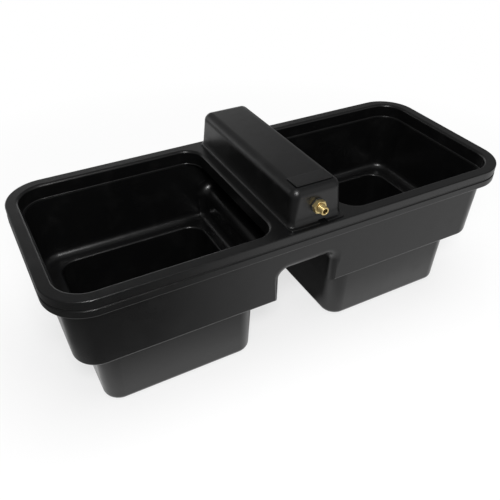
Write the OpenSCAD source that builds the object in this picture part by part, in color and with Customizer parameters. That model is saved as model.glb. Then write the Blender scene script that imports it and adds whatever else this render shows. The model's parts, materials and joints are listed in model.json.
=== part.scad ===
// Double-bowl livestock water trough: a one-piece black moulding with two stepped bowls joined by a bridge,
// and a hood on the bridge that carries a float valve.
// Origin at the middle of the floor, +X along the trough, -Y towards the side with the water inlet, +Z up.

/* [Tub] */
// Length of the rim's top edge
tub_l = 1000; // [920:1:1200]
// Width of the rim's top edge
tub_w = 410; // [396:1:480]
// Height of the rim above the floor
tub_h = 336; // [316:1:400]
// Thickness of the moulded walls
wall = 6; // [4:0.5:7]
// Plan radius of the rim's outer corners
rim_r = 80; // [70:1:100]
// Width of the rim's flat top
rim_face = 25; // [22:1:30]
// Radius along the rim's outer top edge
rim_edge_r = 3; // [2:0.5:6]
// Radius along the bowls' mouths
mouth_edge_r = 3; // [1:0.5:5]
// Depth of the rim's hanging skirt
skirt_h = 37; // [30:1:44]
// Thickness of the skirt
skirt_t = 5; // [3:0.5:6]
// Height of the lower lip of the skirt
lip_h = 16; // [12:1:22]
// How far that lip stands proud of the skirt
lip_out = 0.5; // [0.5:0.5:3]
// Radius along that lip's edges
lip_edge_r = 1.5; // [1:0.25:2]
// Depth of the groove above the lip
groove_d = 1.5; // [0.5:0.5:2.5]
// Width of the groove above the lip
groove_w = 2.5; // [1:0.5:4]

/* [Bowls] */
// Depth of the upright band inside the mouth of a bowl
band_h = 32; // [20:1:40]
// Inset of the wall below that band
band_in = 4.5; // [2:0.5:8]
// Height of the shelf's underside above the floor
shelf_z = 154; // [130:1:170]
// Inward lean of the upper walls, from band to shelf
upper_draft = 6; // [2:0.5:10]
// Outer radius along the shelf's lower edge
shelf_edge_r = 10; // [6:1:16]
// Width of the shelf's underside along the trough's sides
shelf_side = 29.5; // [20:0.5:40]
// Width of the shelf's underside at the trough's ends
shelf_end = 37; // [24:0.5:50]
// Width of the shelf's underside beside the arch
shelf_bridge = 33; // [24:0.5:50]
// Inward lean of the lower walls, from shelf to floor
foot_draft = 6; // [2:0.5:12]
// Plan radius of the lower bowls' corners, at the shelf
foot_r = 42; // [36:1:60]
// Outer radius along the floor's edge
foot_edge_r = 14; // [8:1:20]
// Radius inside the bowls, where the walls meet the shelf and the floor
fillet_r = 12; // [6:1:16]
// Radius over the shelf's inner edge
shelf_lip_r = 5; // [2:0.5:8]

/* [Bridge] */
// Width of the bare deck beside the hood
deck_bare = 20; // [16:1:36]
// Plan radius of the mouths' corners beside the deck
deck_r = 38; // [20:1:50]
// Clear width of the arch under the bridge
arch_w = 122; // [100:1:130]
// Depth of the arch's underside below the rim
arch_drop = 110; // [96:1:120]
// Outward lean of the arch's sides, from its top to the floor
arch_draft = 4; // [0:0.5:8]
// Radius of the arch's upper corners
arch_r = 18; // [8:1:26]
// Radius of the arch's flared front and back edges
arch_flare = 24; // [6:1:28]
// Radius where the saddle meets the bowls' side walls
saddle_flare = 24; // [12:1:30]
// Gap between the float and the edge of its opening in the deck
hatch_gap = 9; // [4:0.5:12]
// Height of the upstand round the float opening
collar_h = 10; // [4:1:14]
// Thickness of that upstand
collar_t = 4; // [3:0.5:4.5]

/* [Hood] */
// Distance from the rim's edge to the hood's foot at the front
hood_setback = 14; // [8:0.5:24]
// Distance from the rim's edge to the hood's foot at the back
hood_back = 8; // [4:0.5:24]
// Width of the hood over its foot
hood_w = 122; // [120:1:134]
// Height of the hood
hood_h = 78; // [74:1:100]
// Wall thickness of the hood
hood_wall = 4; // [3:0.5:5]
// Inward lean of the hood's long sides
hood_draft = 3; // [1:0.5:5]
// Radius along the hood's top edges
hood_edge_r = 19; // [12:1:24]
// Plan radius of the hood's corners
hood_r = 10; // [8:1:18]
// How far the flange under the hood stands proud at the sides and the back
hood_foot = 4; // [3:0.5:5]
// Thickness of that flange
hood_foot_h = 2.5; // [2:0.5:5]
// How much further that flange stands out in front
hood_toe = 6.5; // [1:0.5:8]
// Plan radius of its front corners
toe_r = 10; // [6:1:14]
// How far the hood's walls spread where they meet that flange
hood_spread = 2.5; // [1:0.5:2.5]
// Height over which they spread
hood_spread_h = 12; // [4:1:20]
// Gap between the hood and the upstand inside it
hood_gap = 2; // [1:0.5:3]
// Length of the raised plain pad across the top
pad_l = 79; // [50:1:82]
// Width of that pad along the hood
pad_w = 34; // [20:1:50]
// Height of that pad
pad_t = 2; // [1:0.5:3]
// Distance from the hood's front wall to the pad
pad_from_front = 13; // [13:1:56]
// Sideways offset of the pad
pad_x = -0.5; // [-4:0.5:4]
// Width of the prising notch in the flange's front
notch_w = 16; // [8:1:24]
// Height of that notch
notch_h = 4; // [3:0.5:5]
// Sideways offset of that notch
notch_x = 11; // [-20:1:20]

/* [Float valve] */
// Height of the inlet axis above the deck
inlet_z = 37; // [36:0.5:42]
// Outer diameter of the inlet thread
tail_d = 16.66; // [13.16:0.01:20.96]
// Bore of the inlet tail
tail_bore = 9; // [6:0.5:10]
// Free length of the inlet thread in front of the backnut
tail_out = 14; // [10:1:30]
// Step from the inlet thread up to the shank that the backnut runs on
shank_step = 0.67; // [0.4:0.01:1.5]
// Least thickness of the backnut round the shank
nut_wall = 3; // [2:0.25:6]
// Length of the backnut along the inlet
nut_t = 9; // [5:0.5:12]
// Turn of the backnut about the inlet
nut_turn = 12; // [0:1:60]
// Width of the sealing washers' ring
washer_ring = 5.3; // [4:0.1:8]
// Thickness of the sealing washers
washer_t = 2; // [1:0.5:3]
// Thickness of the body's clamping flange
flange_t = 4; // [3:0.5:6]
// Bore of the barrel
barrel_bore = 18; // [16:0.5:20]
// Wall of the barrel
barrel_wall = 4; // [3:0.5:5]
// Thickness of the metal in front of the seat
web_t = 8; // [4:0.5:10]
// Thickness of the seat
seat_t = 6; // [4:0.5:8]
// Bore of the seat's jet
jet_d = 5; // [3:0.5:8]
// Wall of the seat's nozzle
nozzle_wall = 2.5; // [1:0.25:3]
// Height of the seat's nozzle
nozzle_h = 2; // [1:0.5:3]
// Bore of the spout under the barrel
spout_bore = 12; // [8:0.5:14]
// Wall of the spout
spout_wall = 2; // [1.5:0.25:3]
// Thickness of the piston's rubber face
seal_t = 3; // [2:0.5:4]
// Length of the piston
piston_l = 26; // [25:1:32]
// Distance from the piston's front to the lever's finger
finger_in = 18; // [17:0.5:19]
// Room in the barrel behind the piston
barrel_spare = 7; // [4:0.5:12]
// How far the end cap laps over the barrel
cap_lap = 8; // [5:0.5:10]
// Thickness of the end cap
cap_t = 4; // [2:0.5:6]
// Wall of the end cap round the barrel
cap_wall = 2.5; // [1.5:0.25:3]

/* [Lever] */
// Diameter of the lever's pin
pin_d = 5; // [4:0.5:6]
// Distance from the barrel down to the middle of that pin
pin_below = 9; // [8:0.5:11]
// Metal round the pin in the body's ears
ear_ring = 4; // [3:0.25:5]
// Thickness of an ear
ear_t = 4; // [3:0.5:5]
// Metal round the pin in the lever's eye
eye_ring = 3.5; // [2.5:0.25:4]
// Overhang of the pin's head
head_rim = 1.75; // [1:0.25:3]
// Thickness of the pin's head
head_t = 2; // [1:0.5:3]
// Depth of the clip's groove in the pin
clip_groove = 0.6; // [0.4:0.1:1]
// Overhang of the clip
clip_rim = 2.25; // [1:0.25:3]
// Thickness of the clip
clip_t = 1; // [0.6:0.1:1.5]
// Length of the pin past its clip
pin_tip = 2; // [1:0.5:3]
// Length of the lever from its pin to the float's rod
lever_l = 160; // [140:1:180]
// Width of the lever across the hood
lever_w = 8; // [6:0.5:9]
// Thickness of the lever
lever_t = 9; // [7:0.5:12]
// Thickness of the lever's finger
finger_t = 6; // [4:0.5:7]
// Reach of the finger past the middle of the piston
finger_tip = 3; // [2:0.5:4]
// Angle of the lever when the float hangs at its lower stop
lever_rest = -7; // [-9:0.5:-5]
// Swing of the lever from open to shut
lever_swing = 14; // [10:0.5:16]

/* [Float] */
// Diameter of the float's rod
rod_d = 6; // [5:0.5:8]
// Metal round the rod in the lever's end
boss_ring = 4; // [3:0.5:6]
// Least thickness of the rod's nuts round the rod
rod_nut_wall = 2; // [1.5:0.25:3]
// Thickness of the rod's nuts
rod_nut_t = 5; // [3:0.5:6]
// Length of the rod above its upper nut
rod_tip = 6; // [2:0.5:10]
// Depth of the rod's socket in the float
socket_h = 8; // [6:0.5:14]
// Length of the float along the hood
float_l = 100; // [80:1:110]
// Height of the float
float_h = 48; // [40:1:52]
// Edge radius of the float
float_r = 14; // [8:1:18]
// Gap between the saddle and the float at its lower stop
float_clear = 7; // [4:1:20]

/* [Drain plugs] */
// Diameter of the drain holes in the floors
drain_d = 50; // [40:1:60]
// How far a plug's flange laps over the hole's edge
plug_lap = 9; // [6:0.5:14]
// Thickness of that flange
plug_t = 5; // [3:0.5:8]
// Thickness of the rubber seal under it
plug_seal_t = 2.5; // [1.5:0.5:4]
// Inset of that seal from the flange's edge
seal_inset = 1; // [0.5:0.25:3]
// Height of a plug's lower end above the ground
plug_up = 1; // [0.5:0.25:2]
// Height of the grip on a plug
grip_h = 20; // [14:1:30]
// Thickness of that grip
grip_t = 9; // [6:1:14]

/* [Hidden] */
// Gaps: round a sliding or turning fit, round a clamped part, round a loose part and beside the lever
run_gap = 0.05;
slip_gap = 0.2;
free_gap = 0.4;
lever_gap = 1;
// Cuts run this far past the faces that they open
cut = 1;
// Steps in each rounded corner and each rounded edge
corner_steps = 7;
edge_steps = 4;
hex_sides = 6;
$fn = 64;

// Half sizes and heights that the tub's shapes share
half_l = tub_l / 2;
half_w = tub_w / 2;
mouth_x = half_l - rim_face;
mouth_y = half_w - rim_face;
mouth_r = rim_r - rim_face;
deck_x = hood_w / 2 + deck_bare;
skirt_z = tub_h - skirt_h;
lip_top = skirt_z + lip_h;
groove_top = lip_top + groove_w;
band_z = tub_h - band_h;
deck_z = tub_h - wall;
shelf_top = shelf_z + wall;
shelf_x = mouth_x + wall - band_in - upper_draft;
shelf_y = mouth_y + wall - band_in - upper_draft;
arch_x = arch_w / 2;
arch_z = tub_h - arch_drop;
saddle_x = arch_x + wall;
saddle_top = arch_z + wall;
foot_x0 = arch_x + shelf_bridge;
foot_x1 = shelf_x - shelf_end;
foot_y = shelf_y - shelf_side;
foot_mid = (foot_x0 + foot_x1) / 2;

// The hood, and the upstand that stands inside its foot
hood_y = half_w - hood_setback;
front_y = -hood_y + hood_foot;
back_y = half_w - hood_back - hood_foot;
hood_mid = (front_y + back_y) / 2;
collar_lean = hood_draft * collar_h / (hood_h - hood_edge_r);
hatch_x = hood_w / 2 - hood_foot - hood_wall - hood_gap - collar_lean - collar_t;
hatch_y0 = front_y + hood_wall + hood_gap + collar_t;

// Places along the inlet, measured from the hood's front wall inwards
inlet_top = tub_h + inlet_z;
shank_d = tail_d + 2 * shank_step;
hole_d = shank_d + 2 * slip_gap;
nut_af = shank_d + 2 * nut_wall;
washer_d = hole_d + 2 * washer_ring;
barrel_d = barrel_bore + 2 * barrel_wall;
cap_d = barrel_d + 2 * cap_wall;
spout_d = spout_bore + 2 * spout_wall;
pin_drop = barrel_d / 2 + pin_below;
stroke = pin_drop * PI / 180 * lever_swing;
lever_shut = lever_rest + lever_swing;
nut_out = -washer_t - nut_t;
tail_end = nut_out - tail_out;
flange_in = hood_wall + washer_t;
seat_in = flange_in + flange_t + web_t;
seat_face = seat_in + seat_t + nozzle_h;
seal_in = seat_face + stroke + free_gap;
spout_in = (seat_face + seal_in) / 2;
piston_in = seal_in + seal_t;
barrel_end = piston_in + piston_l + barrel_spare;
pin_in = piston_in + finger_in - pin_drop * sin(-lever_rest);
pin_y = front_y + pin_in;
pin_z = inlet_top - pin_drop;
ear_gap = lever_w / 2 + lever_gap;
ear_out = ear_gap + ear_t;
ear_d = pin_d + 2 * ear_ring;

// The finger leans by this much to either side, and needs this much room in the barrel and the piston
finger_lean = max(-lever_rest, lever_shut);
body_slot = finger_t / 2 + lever_gap + (pin_drop - barrel_bore / 2) * sin(finger_lean);
piston_slot = finger_t / 2 + free_gap + barrel_bore / 2 * sin(finger_lean);

// The lever's arm passes under the end cap when shut, and the float hangs clear of the saddle when open
cap_reach = barrel_end + cap_t - pin_in;
arm_top = (pin_drop - cap_d / 2 - lever_gap - cap_reach * tan(lever_shut)) * cos(lever_shut);
arm_low = arm_top - lever_t;
float_w = 2 * (hatch_x - hatch_gap);
float_low = float_h / 2 * cos(lever_rest) + (lever_l + float_l / 2) * sin(-lever_rest);
float_drop = (pin_z - saddle_top - float_clear - float_low) / cos(lever_rest);
float_reach = lever_l + float_l / 2 + (float_drop + float_h / 2) * sin(lever_shut);
hatch_y1 = pin_y + float_reach + hatch_gap;

// Drain plugs
plug_d = drain_d + 2 * plug_lap;
plug_z = wall + plug_seal_t;
stem_d = drain_d - 2 * free_gap;

// Plan rectangles: [x0, x1, half width, corner radius at x0, corner radius at x1]
rim_plan = [-half_l, half_l, half_w, rim_r, rim_r];
body_plan = grown([-mouth_x, mouth_x, mouth_y, mouth_r, mouth_r], wall);
mouth_plan = [deck_x, mouth_x, mouth_y, deck_r, mouth_r];
foot_plan = [foot_x0, foot_x1, foot_y, foot_r, foot_r];
hood_plan = [-hood_w / 2 + hood_foot, hood_w / 2 - hood_foot, back_y - hood_mid, hood_r, hood_r];
flange_plan = [-hood_y - hood_toe, back_y + hood_foot, hood_w / 2, toe_r, hood_r + hood_foot];
hatch_plan = [hatch_y0, hatch_y1, hatch_x, hood_r, hood_r];
float_plan = [-float_l / 2, float_l / 2, float_w / 2, 2 * float_r, 2 * float_r];

// A plan rectangle with all its sides and corners moved outwards by d
function grown(plan, d) = [
    plan[0] - d, plan[1] + d, plan[2] + d, max(plan[3] + d, 1), max(plan[4] + d, 1)
];

// One quarter turn of a plan corner with its centre at c
function quarter(c, r, from, z) = [
    for (i = [0:corner_steps])
        let (a = from + 90 * i / corner_steps)
            [c[0] + r * cos(a), c[1] + r * sin(a), z]
];

// The outline of a plan rectangle at height z, anticlockwise
function outline(p, z) = concat(
    quarter([p[1] - p[4], p[2] - p[4]], p[4], 0, z),
    quarter([p[0] + p[3], p[2] - p[3]], p[3], 90, z),
    quarter([p[0] + p[3], -p[2] + p[3]], p[3], 180, z),
    quarter([p[1] - p[4], -p[2] + p[4]], p[4], 270, z)
);

// Steps of a rounded edge from a0 to a1 degrees, as [growth, height] pairs about the centre [g, z]
function rounding(g, z, r, a0, a1) = [
    for (i = [0:edge_steps])
        let (a = a0 + (a1 - a0) * i / edge_steps)
            [g + r * cos(a), z + r * sin(a)]
];

// A closed skin over outlines of equal point counts, first outline at the bottom
module skin(outlines) {
    n = len(outlines[0]);
    rows = len(outlines);
    polyhedron(
        points = [for (o = outlines) each o],
        faces = concat(
            [[for (i = [0:n - 1]) i]],
            [for (k = [0:rows - 2], i = [0:n - 1])
                let (j = (i + 1) % n, low = k * n, high = low + n)
                    each [[low + i, high + i, high + j], [low + i, high + j, low + j]]],
            [[for (i = [n - 1:-1:0]) (rows - 1) * n + i]]
        )
    );
}

// A plan rectangle drawn through [growth, height] pairs, lowest first
module loft(plan, profile) {
    skin([for (p = profile) outline(grown(plan, p[0]), p[1])]);
}

// Both halves of the trough
module each_side() {
    children();
    mirror([1, 0, 0]) children();
}

// The rim's skirt and its flat top, with a channel inside, open below
module rim() {
    difference() {
        loft(rim_plan, concat(
            rounding(lip_out - lip_edge_r, skirt_z + lip_edge_r, lip_edge_r, -90, 0),
            rounding(lip_out - lip_edge_r, lip_top - lip_edge_r, lip_edge_r, 0, 90),
            [[-groove_d, lip_top + lip_edge_r / 2], [-groove_d, groove_top], [0, groove_top + groove_d]],
            rounding(-rim_edge_r, tub_h - rim_edge_r, rim_edge_r, 0, 90)
        ));
        loft(rim_plan, [[-skirt_t, skirt_z - cut], [-skirt_t, deck_z]]);
    }
}

// The outside of the upper bowls, from under the rim down to the shelf
module upper_body() {
    low = -band_in - upper_draft;
    loft(body_plan, concat(
        rounding(low - shelf_edge_r, shelf_z + shelf_edge_r, shelf_edge_r, -90, 0),
        [[-band_in, band_z - wall - band_in], [0, band_z - wall], [0, deck_z + wall / 2]]
    ));
}

// The outside of one lower bowl
module foot() {
    loft(foot_plan, concat(
        rounding(-foot_draft - foot_edge_r, foot_edge_r, foot_edge_r, -90, 0),
        [[0, shelf_z], [0, shelf_top - cut]]
    ));
}

// The hollow of both upper bowls, from the shelf to the band
module upper_hollow() {
    low = -wall - band_in - upper_draft;
    loft(body_plan, concat(
        rounding(low - fillet_r, shelf_top + fillet_r, fillet_r, -90, 0),
        [[-wall - band_in, band_z]]
    ));
}

// The hollow of one lower bowl, rounded over at the shelf
module foot_hollow() {
    low = -wall - foot_draft;
    loft(foot_plan, concat(
        rounding(low - fillet_r, wall + fillet_r, fillet_r, -90, 0),
        rounding(-wall + shelf_lip_r, shelf_top - shelf_lip_r, shelf_lip_r, 180, 90),
        [[-wall + shelf_lip_r, shelf_top + cut]]
    ));
}

// The upright band inside one mouth, open above
module mouth() {
    loft(mouth_plan, concat(
        [[0, band_z - cut]],
        rounding(mouth_edge_r, tub_h - mouth_edge_r, mouth_edge_r, 180, 90),
        [[mouth_edge_r, tub_h + cut]]
    ));
}

// The water passage under the deck, between the two hanging bands
module passage() {
    half = deck_x - wall;
    passage_plan = [-half, half, mouth_y - wall - band_in, deck_r - wall, deck_r - wall];
    loft(passage_plan, [[0, band_z - 2 * cut], [0, deck_z]]);
}

// One cross-section of an arch at y: half width w, height top and corner radius r, standing on a foot of
// [outward spread, height] pairs, lowest first
function arch_section(w, top, r, foot, y) = concat(
    [[0, y, foot[0][1]]],
    [for (p = foot) [-w - p[0], y, p[1]]],
    [for (p = rounding(-w + r, top - r, r, 180, 90)) [p[0], y, p[1]]],
    [for (p = rounding(w - r, top - r, r, 90, 0)) [p[0], y, p[1]]],
    [for (i = [len(foot) - 1:-1:0]) [w + foot[i][0], y, foot[i][1]]]
);

// An arch along Y whose front and back edges flare outwards at half, reaching past them by extra
module arch(w, top, r, foot, half, flare_r, extra) {
    turns = [for (i = [0:edge_steps]) 90 * i / edge_steps];
    flares = [for (a = turns) [half - flare_r + flare_r * sin(a), flare_r - flare_r * cos(a)]];
    ends = concat(flares, [[half + extra, flare_r]]);
    last = len(ends) - 1;
    skin(concat(
        [for (i = [last:-1:0]) arch_section(w + ends[i][1], top + ends[i][1], r, foot, -ends[i][0])],
        [for (e = ends) arch_section(w + e[1], top + e[1], r, foot, e[0])]
    ));
}

// The saddle that the water passes over, standing on the shelf between the bowls' side walls
module saddle() {
    inside = shelf_y + upper_draft / 2 - wall;
    curve = rounding(fillet_r, shelf_top + fillet_r, fillet_r, 270, 180);
    foot = concat([[fillet_r, shelf_z]], curve);
    arch(saddle_x, saddle_top, arch_r + wall, foot, inside, saddle_flare, wall);
}

// The open space between the two halves of the trough
module under_bridge() {
    outside = shelf_y + upper_draft / 2;
    arch(arch_x, arch_z, arch_r, [[arch_draft, -cut]], outside, arch_flare, rim_face);
}

// The one-piece moulding
module tub() {
    color([0.06, 0.06, 0.065])
    difference() {
        union() {
            difference() {
                union() {
                    rim();
                    upper_body();
                    each_side() foot();
                }
                difference() {
                    upper_hollow();
                    saddle();
                }
                each_side() {
                    foot_hollow();
                    mouth();
                }
                passage();
            }
            hatch(collar_t, deck_z + wall / 2, tub_h + collar_h);
        }
        under_bridge();
        hatch(0, deck_z - 2 * cut, tub_h + collar_h + cut);
        each_side() translate([foot_mid, 0, -cut]) cylinder(d = drain_d, h = wall + 2 * cut);
    }
}

// A straight hole or wall with the float opening's outline, grown by g
module hatch(g, z0, z1) {
    rotate([0, 0, 90]) loft(hatch_plan, [[g, z0], [g, z1]]);
}

// The hood's outside or inside, drawn in by g
module hood_form(g, z0) {
    top = tub_h + hood_h - g;
    r = hood_edge_r - g;
    bottom = outline(grown(hood_plan, -g), z0);
    rest = [for (p = rounding(-r, top - r, r, 0, 90)) outline(leaned(grown(hood_plan, -g), p[0]), p[1])];
    translate([0, hood_mid, 0]) skin(concat([bottom], rest));
}

// A hood section with its long sides leaning in as well
function leaned(plan, d) = grown([plan[0] + hood_draft, plan[1] - hood_draft, plan[2], plan[3], plan[4]], d);

// Lift-off hood with a flange, a plain raised pad and a prising notch
module hood() {
    foot_top = tub_h + hood_foot_h;
    color([0.08, 0.08, 0.085])
    difference() {
        union() {
            hood_form(0, tub_h);
            translate([0, hood_mid, 0])
                loft(hood_plan, [[hood_spread, tub_h], [hood_spread, foot_top], [0, foot_top + hood_spread_h]]);
            rotate([0, 0, 90]) loft(flange_plan, [[0, tub_h], [0, foot_top]]);
            translate([pad_x - pad_l / 2, front_y + pad_from_front, tub_h + hood_h - hood_edge_r])
                cube([pad_l, pad_w, hood_edge_r + pad_t]);
        }
        hood_form(hood_wall, tub_h - cut);
        translate([notch_x - notch_w / 2, -hood_y - hood_toe - cut, tub_h - cut])
            cube([notch_w, hood_toe + hood_foot + hood_wall + 2 * cut, notch_h + cut]);
        along_inlet(-cut) cylinder(d = hole_d, h = hood_wall + 2 * cut);
    }
}

// Places children on the inlet axis, v inwards from the hood's front wall, their +Z pointing inwards
module along_inlet(v) {
    translate([0, front_y + v, inlet_top]) rotate([-90, 0, 0]) children();
}

// Brass hexagon nut that clamps the valve to the hood
module backnut() {
    color("goldenrod")
    along_inlet(nut_out)
    difference() {
        rotate([0, 0, nut_turn]) cylinder(d = nut_af / cos(180 / hex_sides), h = nut_t, $fn = hex_sides);
        translate([0, 0, -cut]) cylinder(d = hole_d, h = nut_t + 2 * cut);
    }
}

// A sealing washer whose first face is at v
module washer(v) {
    along_inlet(v)
    difference() {
        cylinder(d = washer_d, h = washer_t);
        translate([0, 0, -cut]) cylinder(d = hole_d, h = washer_t + 2 * cut);
    }
}

// Washer between the nut and the hood
module outer_washer() {
    color("dimgray") washer(-washer_t);
}

// Washer between the hood and the valve's flange
module inner_washer() {
    color("dimgray") washer(hood_wall);
}

// Brass valve body: inlet thread and shank, clamping flange, barrel, spout and the lever's two ears
module valve_body() {
    color("darkgoldenrod")
    difference() {
        union() {
            along_inlet(tail_end) cylinder(d = tail_d, h = tail_out);
            along_inlet(nut_out) cylinder(d = shank_d, h = flange_in - nut_out);
            along_inlet(flange_in) cylinder(d = washer_d, h = flange_t);
            along_inlet(flange_in) cylinder(d = barrel_d, h = barrel_end - flange_in);
            translate([0, front_y + spout_in, pin_z]) cylinder(d = spout_d, h = pin_drop);
            ears();
        }
        along_inlet(tail_end - cut) cylinder(d = tail_bore, h = seat_in - tail_end + 2 * cut);
        along_inlet(seat_in) cylinder(d = barrel_bore, h = barrel_end - seat_in + cut);
        translate([0, front_y + spout_in, pin_z - cut]) cylinder(d = spout_bore, h = pin_drop + cut);
        translate([-ear_gap, pin_y - body_slot, pin_z - ear_d])
            cube([2 * ear_gap, 2 * body_slot, ear_d + pin_drop]);
        translate([0, pin_y, pin_z]) rotate([0, 90, 0])
            cylinder(d = pin_d, h = 2 * (ear_out + cut), center = true);
    }
}

// The two ears that carry the lever's pin
module ears() {
    for (side = [-1, 1])
        translate([side * (ear_gap + ear_t / 2), pin_y, pin_z]) {
            rotate([0, 90, 0]) cylinder(d = ear_d, h = ear_t, center = true);
            translate([-ear_t / 2, -ear_d / 2, 0]) cube([ear_t, ear_d, pin_drop - barrel_bore / 2]);
        }
}

// Nylon seat with its jet and nozzle
module valve_seat() {
    color("ivory")
    difference() {
        union() {
            along_inlet(seat_in) cylinder(d = barrel_bore, h = seat_t);
            along_inlet(seat_in) cylinder(d = jet_d + 2 * nozzle_wall, h = seat_t + nozzle_h);
        }
        along_inlet(seat_in - cut) cylinder(d = jet_d, h = seat_t + nozzle_h + 2 * cut);
    }
}

// Brass cap over the open end of the barrel
module end_cap() {
    color("goldenrod")
    difference() {
        along_inlet(barrel_end - cap_lap) cylinder(d = cap_d, h = cap_lap + cap_t);
        along_inlet(barrel_end - cap_lap - cut) cylinder(d = barrel_d, h = cap_lap + cut);
    }
}

// Piston that the lever's finger pushes towards the seat
module piston() {
    slot_top = inlet_top + finger_tip + lever_gap;
    slot_x = (ear_gap + lever_w / 2) / 2;
    color("gold")
    difference() {
        along_inlet(piston_in) cylinder(d = barrel_bore - 2 * run_gap, h = piston_l);
        translate([-slot_x, front_y + piston_in + finger_in - piston_slot, slot_top - barrel_d])
            cube([2 * slot_x, 2 * piston_slot, barrel_d]);
    }
}

// Rubber face of the piston, as wide as the seat's nozzle needs
module piston_seal() {
    color("black") along_inlet(seal_in) cylinder(d = jet_d + 4 * nozzle_wall, h = seal_t);
}

// Steel pin that the lever turns on, with a head and a groove for its clip
module lever_pin() {
    color("silver")
    translate([0, pin_y, pin_z]) rotate([0, 90, 0])
    difference() {
        union() {
            translate([0, 0, -ear_out]) cylinder(d = pin_d, h = 2 * ear_out + clip_t + pin_tip);
            translate([0, 0, -ear_out - head_t]) cylinder(d = pin_d + 2 * head_rim, h = head_t);
        }
        translate([0, 0, ear_out])
        difference() {
            cylinder(d = pin_d + 2 * cut, h = clip_t);
            translate([0, 0, -cut]) cylinder(d = pin_d - 2 * clip_groove, h = clip_t + 2 * cut);
        }
    }
}

// Spring clip in the groove of the pin, open on one side
module pin_clip() {
    mouth_w = pin_d - 3 * clip_groove;
    color("silver")
    translate([ear_out, pin_y, pin_z]) rotate([0, 90, 0])
    difference() {
        cylinder(d = pin_d + 2 * clip_rim, h = clip_t);
        translate([0, 0, -cut]) cylinder(d = pin_d - 2 * clip_groove, h = clip_t + 2 * cut);
        translate([0, -mouth_w / 2, -cut]) cube([pin_d + clip_rim, mouth_w, clip_t + 2 * cut]);
    }
}

// Places the lever's own parts: their origin on the pin, their arm along +Y
module on_lever() {
    translate([0, pin_y, pin_z]) rotate([lever_rest, 0, 0]) children();
}

// Brass lever: an eye on the pin, a finger up into the piston and an arm back to the float's rod
module float_lever() {
    color("goldenrod")
    on_lever()
    difference() {
        union() {
            rotate([0, 90, 0]) cylinder(d = pin_d + 2 * eye_ring, h = lever_w, center = true);
            translate([-lever_w / 2, -finger_t / 2, 0]) cube([lever_w, finger_t, pin_drop + finger_tip]);
            translate([-lever_w / 2, 0, arm_low]) cube([lever_w, lever_l, lever_t]);
            translate([0, lever_l, arm_low]) cylinder(d = rod_d + 2 * boss_ring, h = lever_t);
        }
        rotate([0, 90, 0]) cylinder(d = pin_d + 2 * run_gap, h = lever_w + 2 * cut, center = true);
        translate([0, lever_l, arm_low - cut]) cylinder(d = rod_d + 2 * slip_gap, h = lever_t + 2 * cut);
    }
}

// Threaded rod from the lever down into the float
module float_rod() {
    low = -float_drop + float_h / 2 - socket_h;
    color("silver")
    on_lever() translate([0, lever_l, low]) cylinder(d = rod_d, h = arm_top + rod_nut_t + rod_tip - low);
}

// Two nuts that clamp the rod to the lever
module rod_nuts() {
    rod_nut_d = (rod_d + 2 * rod_nut_wall) / cos(180 / hex_sides);
    color("silver")
    on_lever()
    for (z = [arm_top, arm_low - rod_nut_t])
        translate([0, lever_l, z])
        difference() {
            cylinder(d = rod_nut_d, h = rod_nut_t, $fn = hex_sides);
            translate([0, 0, -cut]) cylinder(d = rod_d, h = rod_nut_t + 2 * cut);
        }
}

// Hollow-moulded float, rounded all over, with a socket for the rod
module float() {
    color([0.1, 0.1, 0.1])
    on_lever() translate([0, lever_l, -float_drop])
    difference() {
        rotate([0, 0, 90]) loft(float_plan, concat(
            rounding(-float_r, -float_h / 2 + float_r, float_r, -90, 0),
            rounding(-float_r, float_h / 2 - float_r, float_r, 0, 90)
        ));
        translate([0, 0, float_h / 2 - socket_h]) cylinder(d = rod_d, h = socket_h + cut);
    }
}

// Drain plug with a stem in the floor's hole and a bar to pull it by
module drain_plug(side) {
    color([0.1, 0.1, 0.1])
    translate([side * foot_mid, 0, 0]) {
        translate([0, 0, plug_up]) cylinder(d = stem_d, h = plug_z - plug_up);
        translate([0, 0, plug_z]) cylinder(d = plug_d, h = plug_t);
        translate([-stem_d / 2, -grip_t / 2, plug_z]) cube([stem_d, grip_t, plug_t + grip_h]);
    }
}

// Rubber ring under a drain plug's flange
module drain_seal(side) {
    color([0.15, 0.15, 0.15])
    translate([side * foot_mid, 0, wall])
    difference() {
        cylinder(d = plug_d - 2 * seal_inset, h = plug_seal_t);
        translate([0, 0, -cut]) cylinder(d = drain_d, h = plug_seal_t + 2 * cut);
    }
}

module left_drain_plug() { drain_plug(-1); }
module right_drain_plug() { drain_plug(1); }
module left_drain_seal() { drain_seal(-1); }
module right_drain_seal() { drain_seal(1); }

tub();
hood();
backnut();
outer_washer();
inner_washer();
valve_body();
valve_seat();
end_cap();
piston();
piston_seal();
lever_pin();
pin_clip();
float_lever();
float_rod();
rod_nuts();
float();
left_drain_plug();
left_drain_seal();
right_drain_plug();
right_drain_seal();
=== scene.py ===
# %% [markdown]
# # A livestock water trough with a float valve
#
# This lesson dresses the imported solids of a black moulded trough: two stepped bowls joined by a bridge, and
# a hood on the bridge that hides a brass float valve. The solids are already in the right place and at the
# right size, in metres, so nothing has to be fitted by eye. The work here is the part that solids leave
# out: soft moulded edges, real threads, and finishes that take the light as the real ones do.

# %% Load the solids
import json
import math
from contextlib import contextmanager

import bmesh
import bpy
from mathutils import Matrix, Vector

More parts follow.
